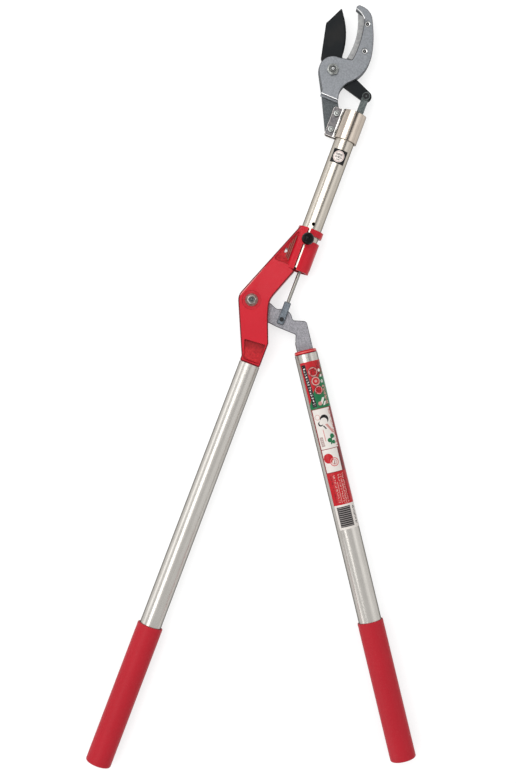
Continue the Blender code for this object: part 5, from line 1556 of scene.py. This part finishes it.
@dataclass
class Head(Assembly):
    """Hooked cheeks, anvil, spacer, screws and the blade's pivot."""

    pivot: Fastener = Fastener(0.0040, 0.0065, 0.0079, (0.0006, 0.0006), 0.00125, 0.0003, 0.0130, 64)
    key_radius: float = 0.00346
    key_depth: float = 0.0040
    screw_radius: float = 0.0018
    screw_width: float = 0.0035
    screw_head: float = 0.0019

    def build(self) -> None:
        """Make the fixed half of the head."""
        plate = self.refined("hook_plate", "front_cheek", HOOK, CAST_SHARP)
        # Painted shade on every chamfer.
        paint(plate, EDGE_SHADE, sloped((0.0, 0.0), MIDDLE))
        # Painted highlight on the chamfers that face towards -Y.
        paint(plate, GLINT, sloped((-0.30, -0.95), MIDDLE))
        self.refined("head_base", "rear_cheek", BASE, CAST_SHARP)
        self.refined("head_spacer", "cheek_spacer", HOOK)
        self.refined("anvil", "anvil_strip", ANVIL)
        for name in ("upper", "lower"):
            self._screw(name)
        bolt, top = self.fasten(self.pivot, ("blade_pivot_nut", "blade_pivot_bolt"),
                                ("blade_lock_nut", "blade_bolt"), NUT)
        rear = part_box("blade_pivot_bolt")[0].z
        key = bar(self.key_radius, rear - 0.001, rear + self.key_depth, 6)
        cut(bolt, [key], Matrix.Translation((top.x, top.y, 0.0)))
        paint_end(bolt, self.pivot.radius, top, BRIGHT)

    def _screw(self, name: str) -> None:
        """Make one anvil screw: a dished head whose middle is painted dark as a key hole's shade.

        Args:
            name: upper or lower.
        """
        low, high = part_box("anvil_screw_" + name)
        middle = (low + high) / 2
        neck = high.z - self.screw_head
        profile = [(0.0, low.z), (self.screw_radius, low.z), (self.screw_radius, neck),
                   (self.screw_width, neck), (self.screw_width, high.z - 0.0003),
                   (self.screw_width - 0.0004, high.z), (0.0022, high.z - 0.0003), (0.0019, high.z - 0.0009),
                   (0.0007, high.z - 0.0011), (0.0004, high.z - 0.0006), (0.0, high.z - 0.0006)]
        screw = self.add(name + "_screw", upright(turned(profile, 48)), SCREW, ["anvil_screw_" + name],
                         Matrix.Translation((middle.x, middle.y, 0.0)))
        top = Vector((middle.x, middle.y, high.z - 0.0015))
        # Painted shade where the key hole would be.
        paint(screw, GROOVE_SHADE, within(top, 0.0006, 0.0021))


@dataclass
class Blade(Assembly):
    """Coated blade and the pin through its tail."""

    pin_radius: float = 0.0025
    head_radius: float = 0.0050
    head_height: float = 0.0017

    def build(self) -> None:
        """Make the blade and its pin."""
        self.refined("blade", "cutting_blade", BLADE, 20.0)
        low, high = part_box("tail_pin")
        middle = (low + high) / 2
        ring = self.head_radius
        rise = high.z - low.z
        profile = [(0.0, 0.0), (0.9 * ring - 0.0004, 0.0), (0.9 * ring, 0.0004), (0.9 * ring, self.head_height),
                   (self.pin_radius, self.head_height), (self.pin_radius, rise - self.head_height),
                   (ring, rise - self.head_height), (ring, rise - 0.0005), (ring - 0.0004, rise),
                   (ring - 0.0011, rise), (ring - 0.0014, rise - 0.0004), (0.0012, rise - 0.0004),
                   (0.0009, rise - 0.0001), (0.0, rise - 0.0001)]
        rivet = self.add("tail_rivet", upright(turned(profile, 64)), GUNMETAL, ["tail_pin"],
                         Matrix.Translation((middle.x, middle.y, low.z)))
        paint(rivet, PIN, within(Vector((middle.x, middle.y, high.z - 0.0008)), 0.0010, ring - 0.0010))


@dataclass
class Pole(Assembly):
    """Short tube with its index holes, and the film on it."""

    axis: Point = (-0.139680, 0.167022)
    radius: float = 0.0125
    wall: float = 0.0012
    length: float = 0.2020
    holes: tuple[float, ...] = (0.0369, 0.0578)
    hole_radius: float = 0.0023
    hole_reach: float = 0.03
    film_spread: float = 42.5
    film_middle: float = 0.1474
    film_length: float = 0.0176

    def build(self) -> None:
        """Make the tube with its holes, and the film."""
        place = Matrix.Translation((*self.axis, MIDDLE))
        inner = self.radius - self.wall
        profile = [(inner, 0.0), (self.radius - RIM, 0.0), (self.radius, RIM), (self.radius, self.length - RIM),
                   (self.radius - RIM, self.length), (inner, self.length)]
        tube = self.add("pole_skin", turned(profile, 128, True), WARM, ["pole_tube"], place)
        for along in self.holes:
            drill = bar(self.hole_radius, 0.0, self.hole_reach)
            cut(tube, [drill], place @ Matrix.Translation((0.0, along, 0.0)))
        round_normals(tube)
        half = self.film_length / 2
        film = film_strip(self.radius + FILM, (-self.film_spread, self.film_spread),
                          (self.film_middle - half, self.film_middle + half))
        self.add("pole_film_patch", film, POLE_FILM, ["pole_sticker"], place)


@dataclass
class Clamp(Assembly):
    """Folded stainless sheet round the pole and the head's shank, with its bolts and nuts."""

    axis: Point = (-0.139680, 0.373622)
    sheet: float = 0.0024
    length: float = 0.0370
    flange: float = 0.0272
    corner: float = 0.0028
    wrap: float = 0.0140
    front: float = -0.0006
    rear: float = -0.0096
    fillet: float = 0.0025
    hole_radius: float = 0.0023
    hole_reach: float = 0.03
    groove: Point = (0.0012, 0.0021)
    pinch: Fastener = Fastener(0.0020, 0.0035, 0.0028, (0.0004, 0.0004), 0.0007, 0.0002, 0.0070, 40, False)

    def build(self) -> None:
        """Make the sheet, bolts and nuts."""
        place = Matrix.Translation((*self.axis, MIDDLE))
        sheet = self.add("clamp_sheet", self._sheet(), STAINLESS, ["head_collar"], place, sharp=30.0)
        fold = self.axis[0] - self.wrap
        # Painted dark reflection on the front flange.
        paint(sheet, FLANGE_REFLECTION, lambda spot, normal: spot.x < fold - self.fillet and normal.z > 0.9)
        # Painted highlight on the bend.
        paint(sheet, FOLD_HIGHLIGHT, lambda spot, normal: fold - self.fillet < spot.x < fold + 0.0002 and spot.z > MIDDLE)
        for name in ("upper", "lower"):
            bolt, top = self.fasten(self.pinch, ("collar_nut_" + name, "collar_bolt_" + name),
                                    (name + "_clamp_nut", name + "_clamp_bolt"), NUT)
            hole = bar(self.hole_radius, -self.hole_reach, self.hole_reach)
            cut(sheet, [hole], Matrix.Translation((top.x, top.y, MIDDLE)))
            # Painted shade in the ring round the bolt's end.
            paint(bolt, GROOVE_SHADE, within(Vector((top.x, top.y, top.z - 0.0006)), *self.groove))

    def _sheet(self) -> bmesh.types.BMesh:
        """Folded sheet: front flange, wrap and rear flange, with the flanges' corners rounded.

        Returns:
            The shape.
        """
        rise = self.front + self.fillet
        reach = math.sqrt((self.wrap + self.fillet) ** 2 - rise ** 2)
        turn = math.degrees(math.asin(rise / (self.wrap + self.fillet)))
        start = 180.0 - turn
        stop = -180.0 - math.degrees(math.asin(self.rear / self.wrap))
        corner = arc_points((0.0, 0.0), self.corner, 0.0, 90.0, 8)
        ends = [(self.corner - across - self.flange, self.corner - along) for across, along in corner]
        path = [(across, self.front, inset) for across, inset in ends]
        bend = arc_points((-reach, rise), self.fillet, -90.0, -turn, 10)
        bend += arc_points((0.0, 0.0), self.wrap, start, stop, 72)[1:]
        path += [(across, level, 0.0) for across, level in bend]
        path += [(across, self.rear, inset) for across, inset in reversed(ends)]
        shape = bmesh.new()
        columns = []
        for index, (across, level, inset) in enumerate(path):
            before, after = path[max(0, index - 1)], path[min(len(path) - 1, index + 1)]
            run = Vector((after[0] - before[0], after[1] - before[1])).normalized()
            out = Vector((-run.y, run.x)) * self.sheet / 2
            column = []
            for side in (1, -1):
                for along in (inset - self.length, -inset):
                    column.append(shape.verts.new((across + side * out.x, along, level + side * out.y)))
            columns.append(column)
        for one, two in zip(columns, columns[1:]):
            for a, b in ((0, 1), (1, 3), (3, 2), (2, 0)):
                shape.faces.new((one[a], one[b], two[b], two[a]))
        for column in (columns[0], columns[-1]):
            shape.faces.new((column[0], column[1], column[3], column[2]))
        bmesh.ops.recalc_face_normals(shape, faces=shape.faces)
        return shape


@dataclass
class LockBarrel(Assembly):
    """Threaded barrel that the plunger slides in."""

    def build(self) -> None:
        """Make the barrel."""
        self.refined("lock_barrel", "plunger_barrel", ZINC)


@dataclass
class LockPlunger(Assembly):
    """Ball knob on its pin, with the spring."""

    radius: float = 0.0078
    hollow: float = 0.0045
    guide: float = 0.0018
    roof: float = MIDDLE + 0.0255
    crown: float = 0.0030
    travel: float = 0.0045

    def build(self) -> None:
        """Make the ball, the pin and the spring."""
        low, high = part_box("lock_knob")
        middle = (low + high) / 2
        centre = high.z - self.radius
        lowest = -math.degrees(math.acos(self.hollow / self.radius))
        ball = arc_points((0.0, centre), self.radius, 90.0, lowest, 40)
        ball[0] = (0.0, high.z)
        crown = high.z - self.crown
        ball += [(self.hollow, self.roof), (self.guide, self.roof), (self.guide, crown), (0.0, crown)]
        self.add("ball_knob", upright(turned(ball, 64)), KNOB, ["lock_knob"],
                 Matrix.Translation((middle.x, middle.y, 0.0)), sharp=50.0)
        self.refined("lock_pin", "plunger_pin", ZINC)
        spring = self.refined("lock_spring", "plunger_spring", ZINC)
        low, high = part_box("lock_spring")
        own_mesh(spring)


# Studio


@dataclass
class Studio:
    """Pale floor, soft lamps, a white world and the camera of the photograph."""

    aim: Point = (-0.131080, 0.006322)
    height: float = 1.6413
    lens: float = 59.8
    turn: float = 20.58
    sensor: float = 36.0
    floor: float = 0.36
    floor_size: float = 6.0
    floor_drop: float = 0.0004
    glow: float = 0.68
    world: float = 0.85

    def build(self) -> None:
        """Set the whole studio."""
        self._floor()
        self._world()
        self._lamp("left_box", (-0.78, 0.38, 1.30), (-0.78, 0.38, 0.0), (1.40, 0.36), 3.0)
        self._lamp("head_box", (-0.89, 0.73, 1.30), (-0.89, 0.73, 0.0), (1.18, 0.34), 3.0)
        self._lamp("left_strip", (-0.77, -0.42, 1.30), (-0.77, -0.42, 0.0), (0.62, 0.90), 2.6)
        self._lamp("right_box", (1.05, 0.60, 1.10), (0.00, 0.20, 0.02), (0.80, 0.70), 0.40)
        self._lamp("right_panel", (1.22, 0.30, 0.85), (-0.05, 0.10, 0.02), (1.40, 1.50), 0.26)
        self._lamp("side_panel", (-1.60, -0.05, 0.40), (0.0, -0.05, 0.30), (1.30, 0.60), 1.25)
        self._lamp("foot_panel", (-0.60, -1.60, 0.40), (-0.20, 0.0, 0.30), (1.20, 0.60), 2.0)
        self._card("narrow_card", (0.42, 0.75, 1.75), (0.30, 1.10))
        self._card("head_card", (0.47, 0.95, 1.75), (1.16, 0.34))
        self._camera()
        scene = bpy.context.scene
        scene.view_settings.view_transform = "Standard"
        LOG.info("studio set")

    def _floor(self) -> None:
        """Wide pale sheet under the tool."""
        shape = bmesh.new()
        bmesh.ops.create_grid(shape, x_segments=8, y_segments=8, size=self.floor_size)
        sheet = new_object("studio_floor", shape)
        sheet.location = (0.0, 0.0, -self.floor_drop)
        paper, graph, sockets = new_material("pale_paper")
        grain = EFFECTS.place(graph, Effect.GRAIN, Scale=300.0, Stretch=1.0).outputs["Value"]
        tone = graph.blend(graph.ranged(grain, *NOISE_SPAN), (self.floor,) * 3, (self.floor * 1.01,) * 3)
        graph.feed(sockets["Base Color"], tone)
        path = graph.node("ShaderNodeLightPath").outputs
        mirrored = graph.maths("ADD", path["Is Glossy Ray"], path["Is Transmission Ray"])
        seen = graph.maths("ADD", path["Is Camera Ray"], mirrored, True)
        graph.feed(sockets["Emission Strength"], graph.maths("MULTIPLY", seen, self.glow))
        sockets["Emission Color"].default_value = WHITE
        graph.feed(sockets["Roughness"], graph.ranged(grain, *NOISE_SPAN, 0.85, 0.95))
        sockets["Specular IOR Level"].default_value = 0.1
        sheet.data.materials.append(paper)

    def _world(self) -> None:
        """White surroundings for every ray."""
        world = bpy.data.worlds.new("white_room")
        world.use_nodes = True
        bpy.context.scene.world = world
        graph = Graph(world.node_tree)
        back = world.node_tree.nodes["Background"]
        path = graph.node("ShaderNodeLightPath").outputs
        seen = graph.maths("MAXIMUM", path["Is Camera Ray"], path["Is Transmission Ray"])
        graph.feed(back.inputs["Strength"], graph.ranged(seen, 0.0, 1.0, self.world, 1.0))
        back.inputs["Color"].default_value = WHITE

    @staticmethod
    def _card(name: str, spot: Spot, size: Point) -> None:
        """Dark card over the head, which the polished metal shows as a dark line.

        Args:
            name: the card's name.
            spot: its middle.
            size: its width and length.
        """
        shape = bmesh.new()
        bmesh.ops.create_grid(shape, x_segments=1, y_segments=1, size=0.5)
        card = new_object(name, shape)
        card.location = spot
        card.scale = (*size, 1.0)
        felt, _, sockets = new_material(name + "_felt")
        sockets["Base Color"].default_value = (0.03, 0.03, 0.03, 1.0)
        sockets["Roughness"].default_value = 0.9
        card.data.materials.append(felt)

    @staticmethod
    def _lamp(name: str, spot: Spot, aim: Spot, size: Point, radiance: float) -> None:
        """Soft rectangular lamp.

        Args:
            name: the lamp's name.
            spot: where it hangs.
            aim: the point that it faces.
            size: its width and length.
            radiance: how bright its face is.
        """
        data = bpy.data.lights.new(name, "AREA")
        data.shape = "RECTANGLE"
        data.size, data.size_y = size
        data.energy = radiance * math.pi * size[0] * size[1]
        lamp = bpy.data.objects.new(name, data)
        bpy.context.scene.collection.objects.link(lamp)
        lamp.location = spot
        lamp.rotation_mode = "QUATERNION"
        lamp.rotation_quaternion = (Vector(aim) - Vector(spot)).to_track_quat("-Z", "Y")

    def _camera(self) -> None:
        """Camera straight above, turned as the photograph is."""
        data = bpy.data.cameras.new("camera")
        data.lens = self.lens
        data.sensor_width = self.sensor
        data.clip_start = 0.05
        data.clip_end = 50.0
        camera = bpy.data.objects.new("camera", data)
        bpy.context.scene.collection.objects.link(camera)
        camera.location = (*self.aim, self.height)
        camera.rotation_euler = (0.0, 0.0, math.radians(self.turn))
        bpy.context.scene.camera = camera


def main() -> None:
    """Build and dress every sub-assembly, then set the studio."""
    logging.basicConfig(level=logging.INFO, format="%(name)s: %(message)s")
    assemblies = [
        Bracket("frame"),
        Handle("frame"),
        Pole("frame"),
        Clamp("frame"),
        Head("frame"),
        LockBarrel("frame"),
        LeverArm("lever"),
        MovingHandle("lever", name="right", origin=(-0.094180, 0.075122), angle=34.11, tube_top=-0.0048,
                     top_radius=0.01435, foot_radius=0.01435, length=0.5270, grip_length=0.1795),
        PullRod("rod"),
        Blade("blade"),
        LockPlunger("lock"),
    ]
    for assembly in assemblies:
        assembly.build()
    Studio().build()
    LOG.info("%d pieces made", sum(len(assembly.pieces) for assembly in assemblies))


if __name__ == "__main__":
    main()
